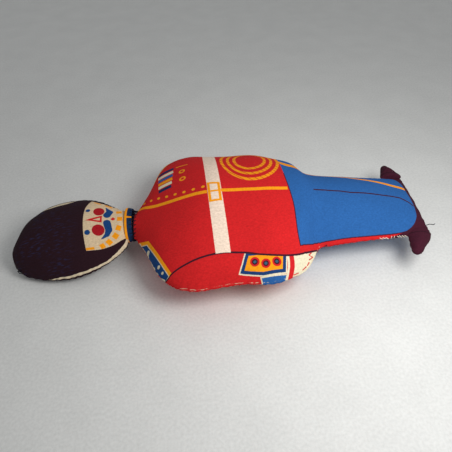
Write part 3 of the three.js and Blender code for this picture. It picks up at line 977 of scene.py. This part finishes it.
def through(places: np.ndarray, values: np.ndarray, at: np.ndarray) -> np.ndarray:
    """A smooth curve through values at places, with the mean slope of the two spans at each.

    Args:
        places: Rising places, one per row of values.
        values: A row of values for each place.
        at: The places to read.

    Returns:
        A row of values for each place read.
    """
    secants = np.diff(values, axis=0) / np.diff(places)[:, None]
    slopes = np.vstack([secants[:1], (secants[1:] + secants[:-1]) / 2, secants[-1:]])
    at = np.clip(at, places[0], places[-1])
    index = np.clip(np.searchsorted(places, at, side="right") - 1, 0, len(places) - 2)
    span = (places[index + 1] - places[index])[:, None]
    share = (at - places[index])[:, None] / span
    share2, share3 = share**2, share**3
    return (
        (2 * share3 - 3 * share2 + 1) * values[index]
        + (share3 - 2 * share2 + share) * span * slopes[index]
        + (3 * share2 - 2 * share3) * values[index + 1]
        + (share3 - share2) * span * slopes[index + 1]
    )


@dataclass
class StuffedForm:
    """A form of two equal panels, seamed in a plane and filled out to a lens between its edges.

    Its length runs along local X, its seam lies in the local plane z = 0, and each panel is a
    grid of rows along the form and columns across it.
    """

    stations: Sequence[Station]
    place: Matrix
    rows: int
    columns: int
    sag: Callable[[np.ndarray], np.ndarray] = lambda place: 0 * place
    fullness: float = 1.4
    crowding: float = 0.6

    def __post_init__(self) -> None:
        """Reads the stations and lays out both panels."""
        places = np.array([s.at for s in self.stations])
        sizes = np.array([[s.low, s.high, s.front, s.back, s.lens] for s in self.stations])
        share = np.linspace(0, 1, self.rows + 1)
        share = mix(share, (1 - np.cos(math.pi * share)) / 2, self.crowding)
        self.places = mix(places[0], places[-1], share)
        self.sizes = through(places, sizes, self.places)
        self.local = {side: self.panel(side) for side in Side}
        self.cut = {side: self.pattern(side) for side in Side}

    def panel(self, side: Side) -> np.ndarray:
        """The stuffed panel as a grid of points in the form's own frame.

        Args:
            side: Front or back panel.

        Returns:
            An array of rows, columns and x, y, z.
        """
        turn = np.linspace(0, math.pi, self.columns + 1)[None, :]
        low, high, front, back, lens = (self.sizes[:, k : k + 1] for k in range(5))
        across = mix(-low, high, (np.cos(turn) + 1) / 2)
        depth, power = (front, lens) if side is Side.FRONT else (back, self.fullness)
        rise = depth * np.abs(np.sin(turn)) ** power * side.value
        rise[-1, :] = 0
        along = np.broadcast_to(self.places[:, None], across.shape)
        return np.stack([along, across, rise - self.sag(along)], axis=-1)

    def pattern(self, side: Side) -> np.ndarray:
        """The cut of the cloth: where each grid point lay before it was sewn and stuffed.

        Args:
            side: Front or back panel.

        Returns:
            An array of rows, columns and the distance along, across and in from the seam.
        """
        grid = self.local[side]
        steps = np.linalg.norm(np.diff(grid, axis=1), axis=-1)
        arc = np.concatenate([np.zeros((len(grid), 1)), np.cumsum(steps, axis=1)], axis=1)
        middle = [np.interp(0, row[::-1, 1], run[::-1]) for row, run in zip(grid, arc)]
        across = np.array(middle)[:, None] - arc
        spine = self.local[Side.FRONT][:, self.columns // 2]
        runs = np.linalg.norm(np.diff(spine, axis=0), axis=-1)
        along = np.concatenate([[0], np.cumsum(runs)]) + self.places[0]
        along = np.broadcast_to(along[:, None], across.shape)
        inside = np.minimum(arc, arc[:, -1:] - arc)
        return np.stack([along, across, np.minimum(inside, along[-1:, :] - along)], axis=-1)

    def near_edge(self, side: Side, edge: int, at: float, inside: float) -> Vector:
        """The place on a panel that lies so far in from its seam.

        Args:
            side: Front or back panel.
            edge: 1 for the high edge, -1 for the low one.
            at: The place along the form, in millimetres.
            inside: The distance from the seam, in millimetres.

        Returns:
            The point in the row frame, in metres.
        """
        row = int(np.argmin(np.abs(self.places - at)))
        depths = self.cut[side][row, ::edge, 2][: self.columns // 2]
        column = int(np.argmin(np.abs(depths - inside)))
        return Vector(self.world(side)[row, ::edge][column])

    def world(self, side: Side) -> np.ndarray:
        """Places a panel, pressed flat where it meets the table.

        Args:
            side: Front or back panel.

        Returns:
            The panel's grid in the row frame, in metres.
        """
        points = placed(self.local[side], self.place)
        points[..., 2] = np.maximum(points[..., 2], 0)
        return points * MM


@dataclass(frozen=True)
class Cotton:
    """How the cloth behaves while it is stuffed, in the words of Blender's cloth settings."""

    quality: int = 6
    mass: float = 0.2
    tension_stiffness: float = 20
    compression_stiffness: float = 8
    shear_stiffness: float = 6
    bending_stiffness: float = 0.3
    air_damping: float = 4
    use_pressure: bool = True
    uniform_pressure_force: float = 4.0


@dataclass
class SewnShell:
    """A closed shell of cloth over a stuffed form, with its print, seams and creases."""

    name: str
    form: StuffedForm
    finishes: dict[Side, bpy.types.Material]
    cotton: Cotton = Cotton()
    swell: float = 1.3
    seam_swell: float = 0.25
    swell_reach: float = 18.0
    pucker: float = 0.5
    pucker_pitch: float = 7.0
    pucker_reach: float = 5.0
    pucker_slant: float = 0.6
    pucker_drift: float = 1.5
    drift_scale: float = 0.05
    seam_half: float = 0.8
    lumps: float = 0.6
    lump_scale: float = 38.0
    lump_reach: float = 12.0
    pinned: float = 12.0
    frames: int = 20

    def panel_grid(self, side: Side) -> bpy.types.Object:
        """One panel of cloth, as a grid that carries its place in the cut.

        Args:
            side: Front or back panel.

        Returns:
            The panel's object.
        """
        rows, columns = self.form.rows, self.form.columns
        deselect()
        bpy.ops.mesh.primitive_grid_add(x_subdivisions=rows, y_subdivisions=columns, size=1)
        panel = bpy.context.active_object
        flat = coordinates(panel)
        i = np.rint((flat[:, 0] + 0.5) * rows).astype(int)
        j = np.rint((flat[:, 1] + 0.5) * columns).astype(int)
        set_coordinates(panel, self.form.world(side)[i, j])
        carry_cut(panel, self.form.cut[side][i, j])
        panel.data.materials.append(self.finishes[side])
        return panel

    def sew(self) -> bpy.types.Object:
        """Sews both panels along their edges and gathers the open end shut.

        Returns:
            The shell, not yet stuffed.
        """
        shell = self.panel_grid(Side.FRONT)
        choose(shell, self.panel_grid(Side.BACK))
        bpy.ops.object.join()
        shell.name = self.name
        shell.data.name = self.name
        bpy.ops.object.mode_set(mode="EDIT")
        bpy.ops.mesh.select_all(action="SELECT")
        bpy.ops.mesh.remove_doubles(threshold=SEAM_MERGE)
        bpy.ops.mesh.select_all(action="DESELECT")
        bpy.ops.mesh.select_non_manifold()
        bpy.ops.mesh.edge_face_add()
        bpy.ops.mesh.poke()
        bpy.ops.mesh.select_all(action="SELECT")
        bpy.ops.mesh.normals_make_consistent(inside=False)
        bpy.ops.object.mode_set(mode="OBJECT")
        return shell

    def cut_of(self, shell: bpy.types.Object) -> np.ndarray:
        """Reads where each vertex lay in the cut.

        Args:
            shell: The sewn shell.

        Returns:
            A row for each vertex: along, across and the distance from the seam, in millimetres.
        """
        flat = np.empty(len(shell.data.vertices) * 3, np.float32)
        shell.data.attributes["cut"].data.foreach_get("vector", flat)
        return flat.reshape(-1, 3).astype(float)

    def stuff(self, shell: bpy.types.Object) -> None:
        """Fills the shell by cloth simulation and keeps the result, within the swell allowed.

        Args:
            shell: The sewn shell, which starts at the size of its form.
        """
        start = coordinates(shell)
        cut = self.cut_of(shell)
        shell.shape_key_add(name="Basis")
        flat = shell.shape_key_add(name="cut")
        pattern = np.column_stack([cut[:, 0], cut[:, 1], np.sign(start[:, 2]) * 0.01]) * MM
        flat.data.foreach_set("co", pattern.ravel())
        held = shell.vertex_groups.new(name="held")
        for index, along in enumerate(cut[:, 0] - cut[:, 0].min()):
            held.add([index], max(0.0, 1 - along / self.pinned), "REPLACE")
        cloth = shell.modifiers.new("stuffing", "CLOTH")
        settings = cloth.settings
        for name, value in asdict(self.cotton).items():
            setattr(settings, name, value)
        settings.effector_weights.gravity = 0
        settings.vertex_group_mass = held.name
        settings.rest_shape_key = flat
        cloth.point_cache.frame_start = 1
        cloth.point_cache.frame_end = self.frames
        for frame in range(1, self.frames + 1):
            bpy.context.scene.frame_set(frame)
        evaluated = shell.evaluated_get(bpy.context.evaluated_depsgraph_get())
        swollen = coordinates(evaluated)
        move = swollen - start
        length = np.linalg.norm(move, axis=1, keepdims=True)
        LOG.info("%s moved %.1f mm at most, %.1f on average", self.name, *self.span(length))
        allowed = self.swell * MM * np.minimum(1, self.seam_swell + cut[:, 2:] / self.swell_reach)
        move *= np.minimum(1, allowed / np.maximum(length, 1e-9))
        shell.modifiers.remove(cloth)
        shell.shape_key_clear()
        shell.vertex_groups.remove(held)
        bpy.context.scene.frame_set(1)
        set_coordinates(shell, start + move)

    @staticmethod
    def span(length: np.ndarray) -> tuple[float, float]:
        """The most and the mean of some lengths, in millimetres."""
        return float(length.max()) / MM, float(length.mean()) / MM

    def crease(self, shell: bpy.types.Object) -> None:
        """Puckers along the seams and soft lumps of wadding, then flat again on the table.

        Args:
            shell: The stuffed shell.
        """
        points = coordinates(shell)
        cut = self.cut_of(shell)
        normals = np.empty(len(points) * 3)
        shell.data.vertices.foreach_get("normal", normals)
        normals = normals.reshape(-1, 3)
        seam = np.minimum(1, cut[:, 2] / self.seam_half)
        near = np.exp(-cut[:, 2] / self.pucker_reach) * seam
        run = cut[:, 0] + self.pucker_slant * np.abs(cut[:, 1])
        ways = zip(run * self.drift_scale, np.sign(cut[:, 1]))
        wander = np.array([noise.noise(Vector((way, side, 0))) for way, side in ways])
        puckers = np.sin(2 * math.pi * (run / self.pucker_pitch + self.pucker_drift * wander)) * near
        lumps = np.array([noise.noise(Vector(p) * self.lump_scale) for p in points])
        push = self.pucker * puckers + self.lumps * lumps * np.minimum(1, cut[:, 2] / self.lump_reach)
        points += normals * push[:, None] * MM
        points[:, 2] = np.maximum(points[:, 2], 0)
        set_coordinates(shell, points)

    def build(self) -> bpy.types.Object:
        """Sews, stuffs, subdivides and creases the shell.

        Returns:
            The finished piece.
        """
        shell = self.sew()
        self.stuff(shell)
        choose(shell)
        bpy.ops.object.modifier_add(type="SUBSURF")
        modifier = shell.modifiers[-1]
        modifier.levels = 1
        modifier.render_levels = 1
        bpy.ops.object.modifier_apply(modifier=modifier.name)
        self.crease(shell)
        bpy.ops.object.shade_smooth()
        return shell


# The sizes of the sewn forms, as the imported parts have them

BODY_STATIONS = (
    Station(0, 19.6, 12.4, 10.6, 10.6),
    Station(2, 20.6, 13.4, 10.9, 10.9),
    Station(6, 28, 22.8, 12.4, 12),
    Station(14.56, 44.6, 44.6, 16, 18.33, 1.2),
    Station(24.08, 68, 74.6, 18.56, 25.28, 1.0),
    Station(36.96, 84, 87, 24, 30.02, 1.0),
    even(56, 92, 32, 31.6, 0, 1.2),
    Station(78, 90.4, 88.6, 38.3, 31.6),
    even(100, 88, 37, 31.6),
    even(128, 89.5, 36.63, 31.25),
    Station(147.95, 82.4, 81.6, 34.04, 29.47),
    Station(156.5, 77.8, 77.4, 33, 28.4),
    Station(164.8, 66.4, 70.6, 31.4, 27.1),
    Station(173, 52.8, 56.5, 27.25, 25.57),
    Station(184, 50.2, 50.5, 24.5, 23.5),
    Station(224, 46, 45.3, 19, 19),
    Station(250, 44.8, 42, 14.2, 14.2),
    Station(264, 44, 40.4, 11.4, 11.4),
    Station(275, 41.5, 40, 8.25, 8.25),
    even(280, 39.6, 4.5, 4.5),
    even(282, 38.6, 2.5, 2.5),
)

HEAD_STATIONS = (
    Station(6.6, 14.4, 17.4, 9.4, 9.4),
    Station(7.6, 16.4, 20.0, 10.4, 10.4),
    Station(8.8, 17.6, 22.8, 11.3, 11.3),
    Station(11, 18.8, 25.2, 12.3, 12.3),
    Station(14.5, 21.2, 28.6, 12.8, 12.6),
    Station(20, 25.4, 32.6, 13.64, 13.12),
    Station(30, 32.8, 38.2, 17.16, 16.4),
    even(40, 40, 20.46, 19.27, 2.2),
    even(58, 43.7, 22, 20.5, 2.2),
    even(84, 41.5, 20.68, 19.885, 1.54),
    Station(96, 33.6, 39.1, 18.92, 18.45),
    Station(108, 23.8, 33.2, 15.84, 15.375),
    Station(114, 12.2, 27.4, 11.88, 11.48),
    Station(118.2, 2.6, 21.2, 7.92, 7.79),
    Station(120, -3.2, 14.5, 4.4, 4.1),
)

LEFT_FOOT_STATIONS = (
    Station(-2.4, 10.6, 10.8, 4.6, 4.6),
    Station(1, 11.1, 11, 5, 5),
    Station(5, 11.6, 9.8, 5.2, 5.2),
    Station(10.97, 12.6, 6.4, 6, 6),
    Station(17.85, 13.8, -0.4, 5.4, 5.4),
    Station(22.95, 13.6, -4.6, 3.8, 3.8),
    Station(25.9, 11, -7.4, 1.8, 1.8),
)

RIGHT_FOOT_STATIONS = (
    Station(-2.4, 11.2, 11, 4.6, 4.6),
    Station(1, 11.8, 10.4, 5, 5),
    Station(5, 10.8, 9.3, 5.2, 5.2),
    Station(10.97, 8.8, 6.9, 6, 6),
    Station(17.85, 6.2, 4.4, 5.4, 5.4),
    Station(22.95, 4.4, 2.2, 3.8, 3.8),
    Station(25.9, 2.2, 0.4, 1.8, 1.8),
)


def neck_frame(share: float) -> Matrix:
    """The frame that grows from the neck seam to the crown.

    Args:
        share: How much of the head's turn, nod and lean it has.

    Returns:
        The matrix from that frame to the row frame.
    """
    turn = Euler([math.radians(a) * share for a in (HEAD_TURN, -HEAD_DROP, HEAD_LEAN)], "XYZ")
    out = Matrix.Translation((NECK_DOME, 0, 0)) @ Matrix.Rotation(math.pi, 4, "Z")
    return Matrix.Translation(NECK_PIVOT) @ turn.to_matrix().to_4x4() @ out


def foot_frame(side: int, droop: float) -> Matrix:
    """The frame that grows from an ankle to the toe.

    Args:
        side: -1 for the doll's left foot, 1 for its right.
        droop: How far the toe hangs, in degrees.

    Returns:
        The matrix from the foot's frame to the row frame.
    """
    hinge = Matrix.Translation((FOOT_HINGE[0], side * FOOT_HINGE[1], SEAM_HEIGHT))
    hang = Matrix.Rotation(math.radians(-side * droop), 4, "X")
    grow = Matrix.Translation((0, -side * ANKLE_INSET, 0)) @ Matrix.Rotation(side * math.pi / 2, 4, "Z")
    return hinge @ hang @ grow


def neck_sag(place: np.ndarray) -> np.ndarray:
    """How far the body's seam hangs down towards the neck."""
    share = np.clip(place / SAG_REACH, 0, 1)
    return NECK_SAG * (1 - share * share * (3 - 2 * share))


# The small pieces: collar and threads


@dataclass(frozen=True)
class Collar:
    """The ring of cloth that the head turns in."""

    half_width: float = 16.6
    half_depth: float = 12.0
    near_side: float = 3.4
    flare: float = 2.0
    flare_up: float = 0.8
    start: float = 0.6
    length: float = 6.9
    cloth: float = 1.2
    round_ends: float = 0.5
    round_walls: float = 0.7
    sides: int = 96
    steps: int = 32

    def build(self, finish: bpy.types.Material) -> bpy.types.Object:
        """Shapes a ring into the collar's flat band.

        Args:
            finish: The collar's cloth.

        Returns:
            The collar.
        """
        deselect()
        bpy.ops.mesh.primitive_torus_add(
            major_segments=self.sides, minor_segments=self.steps, major_radius=1, minor_radius=0.25
        )
        collar = bpy.context.active_object
        collar.name = "collar_cloth"
        ring = coordinates(collar)
        around = np.arctan2(ring[:, 1], ring[:, 0])
        turn = np.arctan2(ring[:, 2], np.hypot(ring[:, 0], ring[:, 1]) - 1)
        along = np.sign(np.sin(turn)) * np.abs(np.sin(turn)) ** self.round_ends
        out = np.sign(np.cos(turn)) * np.abs(np.cos(turn)) ** self.round_walls
        at = self.start + self.length * (along + 1) / 2
        share = (at - self.start) / self.length
        inset = self.cloth * (1 - out) / 2
        wide = self.half_width + self.flare * share - inset + self.near_side * np.maximum(0, np.cos(around))
        deep = self.half_depth + self.flare_up * share - inset
        points = np.column_stack([at, -wide * np.cos(around), deep * np.sin(around)])
        cut = np.column_stack([at, wide * np.cos(around), deep * np.sin(around)])
        set_coordinates(collar, placed(points, neck_frame(0.5)) * MM)
        carry_cut(collar, cut)
        collar.data.materials.append(finish)
        choose(collar)
        bpy.ops.object.mode_set(mode="EDIT")
        bpy.ops.mesh.select_all(action="SELECT")
        bpy.ops.mesh.normals_make_consistent(inside=False)
        bpy.ops.object.mode_set(mode="OBJECT")
        bpy.ops.object.shade_smooth()
        return collar


@dataclass
class Thread:
    """A thread that runs over and under cloth."""

    name: str
    radius: float = 0.32
    over: float = 0.18
    under: float = 0.8
    arch: float = 1.8
    steps: int = 5
    path: list[Vector] = field(default_factory=list)

    @staticmethod
    def touch(cloth: bpy.types.Object, near: Vector) -> tuple[Vector, Vector]:
        """The place on a cloth nearest to a point, and the way out from it."""
        _, place, normal, _ = cloth.closest_point_on_mesh(near)
        return place, normal

    def stitch(self, start: tuple[Vector, Vector], end: tuple[Vector, Vector]) -> None:
        """Comes up at one place, goes over the seam and down at another.

        Args:
            start: Where the thread comes up, and the way out of the cloth there.
            end: Where it goes down, and the way out of the cloth there.
        """
        (here, out), (there, off) = start, end
        top = (here + there) / 2 + (out + off).normalized() * self.over * self.arch * MM
        self.path += [
            here - out * self.under * MM,
            here + out * self.over * MM,
            top,
            there + off * self.over * MM,
            there - off * self.under * MM,
        ]

    def build(self, finish: bpy.types.Material) -> bpy.types.Object:
        """Lays the thread along its path.

        Args:
            finish: The thread's finish.

        Returns:
            The thread, as a mesh.
        """
        places = np.array(self.path)
        steps = np.linspace(0, len(places) - 1, (len(places) - 1) * self.steps + 1)
        smooth = through(np.arange(len(places), dtype=float), places, steps)
        deselect()
        bpy.ops.curve.primitive_nurbs_path_add()
        piece = bpy.context.active_object
        piece.name = self.name
        piece.data.splines.clear()
        line = piece.data.splines.new("POLY")
        line.points.add(len(smooth) - 1)
        line.points.foreach_set("co", np.column_stack([smooth, np.ones(len(smooth))]).ravel())
        piece.data.bevel_depth = self.radius * MM
        piece.data.bevel_resolution = 2
        piece.data.use_fill_caps = True
        choose(piece)
        bpy.ops.object.convert(target="MESH")
        piece.data.materials.clear()
        piece.data.materials.append(finish)
        bpy.ops.object.shade_smooth()
        return piece


# The doll


@dataclass
class Doll:
    """The sewn and stuffed pieces and their sewing, whose threads follow the bodies of the frame."""

    neck_stitches: int = 22
    neck_half_width: float = 17.5
    neck_half_depth: float = 12.5
    above_rim: float = 2.2
    below_rim: float = 2.6
    crown_stitches: int = 4
    crown_span: Point = (104.5, 116)
    leg_stitches: int = 9
    leg_span: Point = (233, 257)
    stitch_lean: float = 0.6
    under_reach: float = 0.75

    # Routes of the loose threads: from the body's edge, and along, out of and across the crown's corner
    BOOT_END = (
        (-1.5, 0, 0), (1, 0.1, 0.5), (3.5, 0.5, 0.9), (6.2, 0.2, 0.5), (7.4, -0.2, 0.9), (8.6, 0.3, 1.4),
    )
    CROWN_LOOPS = (
        (-2, -0.8, 0), (-1, 1.4, 0.6), (0.6, 2.2, 1.8), (2.4, 1.4, 2.2), (3.4, 0.5, 1.0), (2.6, 0.9, -0.6),
        (0.8, 1.6, -1.2), (-0.8, 1.1, -0.2), (0.4, 0.7, 1.8), (2.2, 1.0, 3.0), (4.6, 0.6, 3.4),
    )

    def __post_init__(self) -> None:
        """Lays out the four sewn forms."""
        body_at = Matrix.Translation((NECK_SEAM_X + FIT_GAP, 0, SEAM_HEIGHT))
        self.forms = {
            "body": StuffedForm(BODY_STATIONS, body_at, rows=100, columns=80, sag=neck_sag),
            "head": StuffedForm(HEAD_STATIONS, neck_frame(1), rows=56, columns=48),
            "left": StuffedForm(LEFT_FOOT_STATIONS, foot_frame(-1, 0), rows=18, columns=18),
            "right": StuffedForm(RIGHT_FOOT_STATIONS, foot_frame(1, FOOT_DROOP), rows=18, columns=18),
        }

    def body(self, finishes: dict[Side, bpy.types.Material]) -> bpy.types.Object:
        """The cloth of shoulders, arms, tunic and legs, which is one piece with the neck's end.

        Args:
            finishes: The printed cloth, in front and behind.

        Returns:
            The body's cloth.
        """
        body = SewnShell("body_cloth", self.forms["body"], finishes).build()
        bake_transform(body)
        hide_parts("body_front_panel", "body_back_panel", "body_stuffing")
        return body

    def head(self, finishes: dict[Side, bpy.types.Material]) -> bpy.types.Object:
        """The cloth of the face and the cap.

        Args:
            finishes: The printed cloth, in front and behind.

        Returns:
            The head's cloth.
        """
        head = SewnShell("head_cloth", self.forms["head"], finishes).build()
        frame = neck_frame(1)
        frame @ Vector((8, 0, 0)) * MM
        frame @ Vector((24, 0, 0)) * MM
        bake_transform(head)
        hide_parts("head_front_panel", "head_back_panel", "head_stuffing")
        return head

    def foot(self, which: str, side: int, finishes: dict[Side, bpy.types.Material]) -> bpy.types.Object:
        """A foot, set at its ankle.

        Args:
            which: left or right.
            side: Not used; -1 for the doll's left foot, 1 for its right.
            finishes: The boot's cloth, in front and behind.

        Returns:
            The foot's cloth.
        """
        foot = SewnShell(f"{which}_foot_cloth", self.forms[which], finishes, pinned=4.0).build()
        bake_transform(foot)
        nodes = (f"{which}_foot_{part}" for part in ("front_panel", "back_panel", "stuffing"))
        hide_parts(*nodes)
        return foot

    def collar(self, finish: bpy.types.Material) -> bpy.types.Object:
        """The collar, set with half of the head's turn, nod and lean.

        Args:
            finish: The collar's cloth.

        Returns:
            The collar.
        """
        collar = Collar().build(finish)
        frame = neck_frame(0.5)
        start, end = (frame @ Vector((at, 0, 0)) * MM for at in (1.5, 9.0))
        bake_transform(collar)
        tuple(start)
        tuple(end)
        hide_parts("collar")
        return collar

    def neck_sewing(
        self, body: bpy.types.Object, collar: bpy.types.Object, finish: bpy.types.Material
    ) -> bpy.types.Object:
        """The dark thread that whips the collar's edge to the body, all round the neck.

        Args:
            body: The sewn body.
            collar: The collar.
            finish: The dark thread.

        Returns:
            The thread.
        """
        thread = Thread("neck_whip_stitches", under=0.45)
        turned = neck_frame(0.5)
        wide, deep = self.neck_half_width, self.neck_half_depth
        for k in range(self.neck_stitches):
            angle = 2 * math.pi * k / self.neck_stitches
            slant = angle + 0.5 * math.pi / self.neck_stitches
            high = turned @ Vector((self.above_rim, -wide * math.cos(angle), deep * math.sin(angle)))
            low = Vector((NECK_SEAM_X + self.below_rim, wide * math.cos(slant), deep * math.sin(slant)))
            low += Vector((0, NECK_PIVOT.y, NECK_PIVOT.z))
            thread.stitch(Thread.touch(collar, high * MM), Thread.touch(body, low * MM))
        piece = thread.build(finish)
        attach(piece, "neck_turn")
        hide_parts("neck_stitches")
        return piece

    def edge_sewing(
        self,
        name: str,
        cloth: bpy.types.Object,
        form: StuffedForm,
        edge: int,
        places: np.ndarray,
        reach: float = 1.6,
    ) -> Thread:
        """A seam that is closed by hand, with stitches over its edge.

        Args:
            name: The thread's name.
            cloth: The sewn piece.
            form: The piece's form.
            edge: 1 for the form's high edge, -1 for its low one.
            places: Where each stitch starts, along the form.
            reach: How far the stitches reach in from the seam.

        Returns:
            The thread, not yet built.
        """
        thread = Thread(name)
        step = float(places[1] - places[0])
        for at in places:
            top = form.near_edge(Side.FRONT, edge, at, reach)
            under = form.near_edge(Side.BACK, edge, at + step * self.stitch_lean, reach * self.under_reach)
            thread.stitch(Thread.touch(cloth, top), Thread.touch(cloth, under))
        return thread

    def crown_sewing(self, head: bpy.types.Object, finish: bpy.types.Material) -> bpy.types.Object:
        """The dark stitches that close the cap at a corner of the crown.

        Args:
            head: The sewn head.
            finish: The dark thread.

        Returns:
            The thread.
        """
        places = np.linspace(*self.crown_span, self.crown_stitches)
        thread = self.edge_sewing("crown_closing_thread", head, self.forms["head"], 1, places)
        piece = thread.build(finish)
        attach(piece, "head")
        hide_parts("crown_closing_stitches")
        return piece

    def loose_threads(
        self, head: bpy.types.Object, body: bpy.types.Object, finish: bpy.types.Material
    ) -> list[bpy.types.Object]:
        """The end of the thread at the left boot, and the loops left at the crown's corner.

        Args:
            head: The sewn head.
            body: The sewn body.
            finish: The dark thread.

        Returns:
            Both threads.
        """
        tail = Thread("boot_thread_end", radius=0.34)
        start, _ = Thread.touch(body, Vector((199.6, -31.8, 30.2)) * MM)
        tail.path = [start + Vector(step) * MM for step in self.BOOT_END]
        end = tail.build(finish)
        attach(end, "body")
        loop = Thread("crown_thread_loop", radius=0.3)
        corner = self.forms["head"].near_edge(Side.FRONT, 1, 113, 1.5)
        place, out = Thread.touch(head, corner)
        way = (self.forms["head"].near_edge(Side.FRONT, 1, 107, 1.5) - corner).normalized()
        away = way.cross(out).normalized()
        for at, lift, aside in self.CROWN_LOOPS:
            loop.path.append(place + (way * at + out * lift - away * aside) * MM)
        loops = loop.build(finish)
        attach(loops, "head")
        return [end, loops]

    def leg_sewing(self, body: bpy.types.Object, finish: bpy.types.Material) -> bpy.types.Object:
        """The pale stitches that close the left leg's seam.

        Args:
            body: The sewn body.
            finish: The pale thread.

        Returns:
            The thread.
        """
        places = np.linspace(*self.leg_span, self.leg_stitches)
        thread = self.edge_sewing("leg_closing_thread", body, self.forms["body"], -1, places, 1.1)
        piece = thread.build(finish)
        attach(piece, "body")
        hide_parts("leg_closing_stitches")
        return piece


# Table, lights and camera


@dataclass(frozen=True)
class Studio:
    """The plain surface that the doll lies on, the soft light over it and the camera, in millimetres."""

    camera_at: Vector = Vector((-6.030, -318.71, 331.13))
    looks_at: Vector = Vector((7.930, -15.9, 30.0))
    roll: float = -1.66
    lens: float = 35.04
    table_size: float = 6000.0
    table_drop: float = 0.3
    lamp_at: Vector = Vector((190, -180, 310))
    lamp_looks_at: Vector = Vector((50, 0, 0))
    lamp_size: float = 180.0
    lamp_power: float = 1.0
    room: Colour = (0.95, 0.97, 1.0)
    room_strength: float = 0.37

    def camera(self) -> None:
        """Sets the camera at the photograph's viewpoint."""
        data = bpy.data.cameras.new("camera")
        data.lens = self.lens
        data.sensor_width = 36.0
        data.clip_start = 0.01
        camera = bpy.data.objects.new("camera", data)
        bpy.context.scene.collection.objects.link(camera)
        back = (self.camera_at - self.looks_at).normalized()
        right = Vector((0, 0, 1)).cross(back).normalized()
        up = back.cross(right)
        turn = math.radians(self.roll)
        across = right * math.cos(turn) + up * math.sin(turn)
        over = up * math.cos(turn) - right * math.sin(turn)
        frame = Matrix((across, over, back)).transposed().to_4x4()
        camera.matrix_world = Matrix.Translation(self.camera_at * MM) @ frame
        bpy.context.scene.camera = camera

    def table(self, finish: bpy.types.Material) -> bpy.types.Object:
        """The plain table top.

        Args:
            finish: The table's surface.

        Returns:
            The table.
        """
        deselect()
        bpy.ops.mesh.primitive_plane_add(size=self.table_size * MM, location=(0, 0, -self.table_drop * MM))
        table = bpy.context.active_object
        table.name = "table"
        table.data.materials.append(finish)
        return table

    def light(self) -> None:
        """A soft lamp above the near leg, and a pale room all round."""
        data = bpy.data.lights.new("window", "AREA")
        data.size = self.lamp_size * MM
        data.energy = self.lamp_power
        window = bpy.data.objects.new("window", data)
        bpy.context.scene.collection.objects.link(window)
        window.location = self.lamp_at * MM
        window.rotation_euler = (self.lamp_looks_at - self.lamp_at).to_track_quat("-Z", "Y").to_euler()
        window.visible_camera = False
        world = bpy.data.worlds.new("room")
        world.use_nodes = True
        background = world.node_tree.nodes["Background"]
        background.inputs["Color"].default_value = (*self.room, 1)
        background.inputs["Strength"].default_value = self.room_strength
        bpy.context.scene.world = world
        bpy.context.scene.view_settings.view_transform = "Standard"


def main() -> None:
    """Builds the doll and its studio."""
    logging.basicConfig(level=logging.INFO, format="%(name)s: %(message)s")
    doll = Doll()
    body = doll.body({side: TunicPrint(side).finish() for side in Side})
    head = doll.head({side: HeadPrint(side).finish() for side in Side})
    boot = BootPrint().finish(grain=0.3)
    left = doll.foot("left", -1, {side: boot for side in Side})
    right = doll.foot("right", 1, {side: boot for side in Side})
    collar = doll.collar(CollarPrint().finish())
    dark = Spun("dark thread", DARK_THREAD).finish()
    pale = Spun("pale thread", PALE_THREAD).finish()
    neck = doll.neck_sewing(body, collar, dark)
    crown = doll.crown_sewing(head, dark)
    leg = doll.leg_sewing(body, pale)
    loose = doll.loose_threads(head, body, dark)
    for piece in (body, head, left, right, collar, neck, crown, leg, *loose):
        LOG.info("%s: %d faces", piece.name, len(piece.data.polygons))
    studio = Studio()
    studio.table(TableTop().finish())
    studio.light()
    studio.camera()


if __name__ == "__main__":
    main()
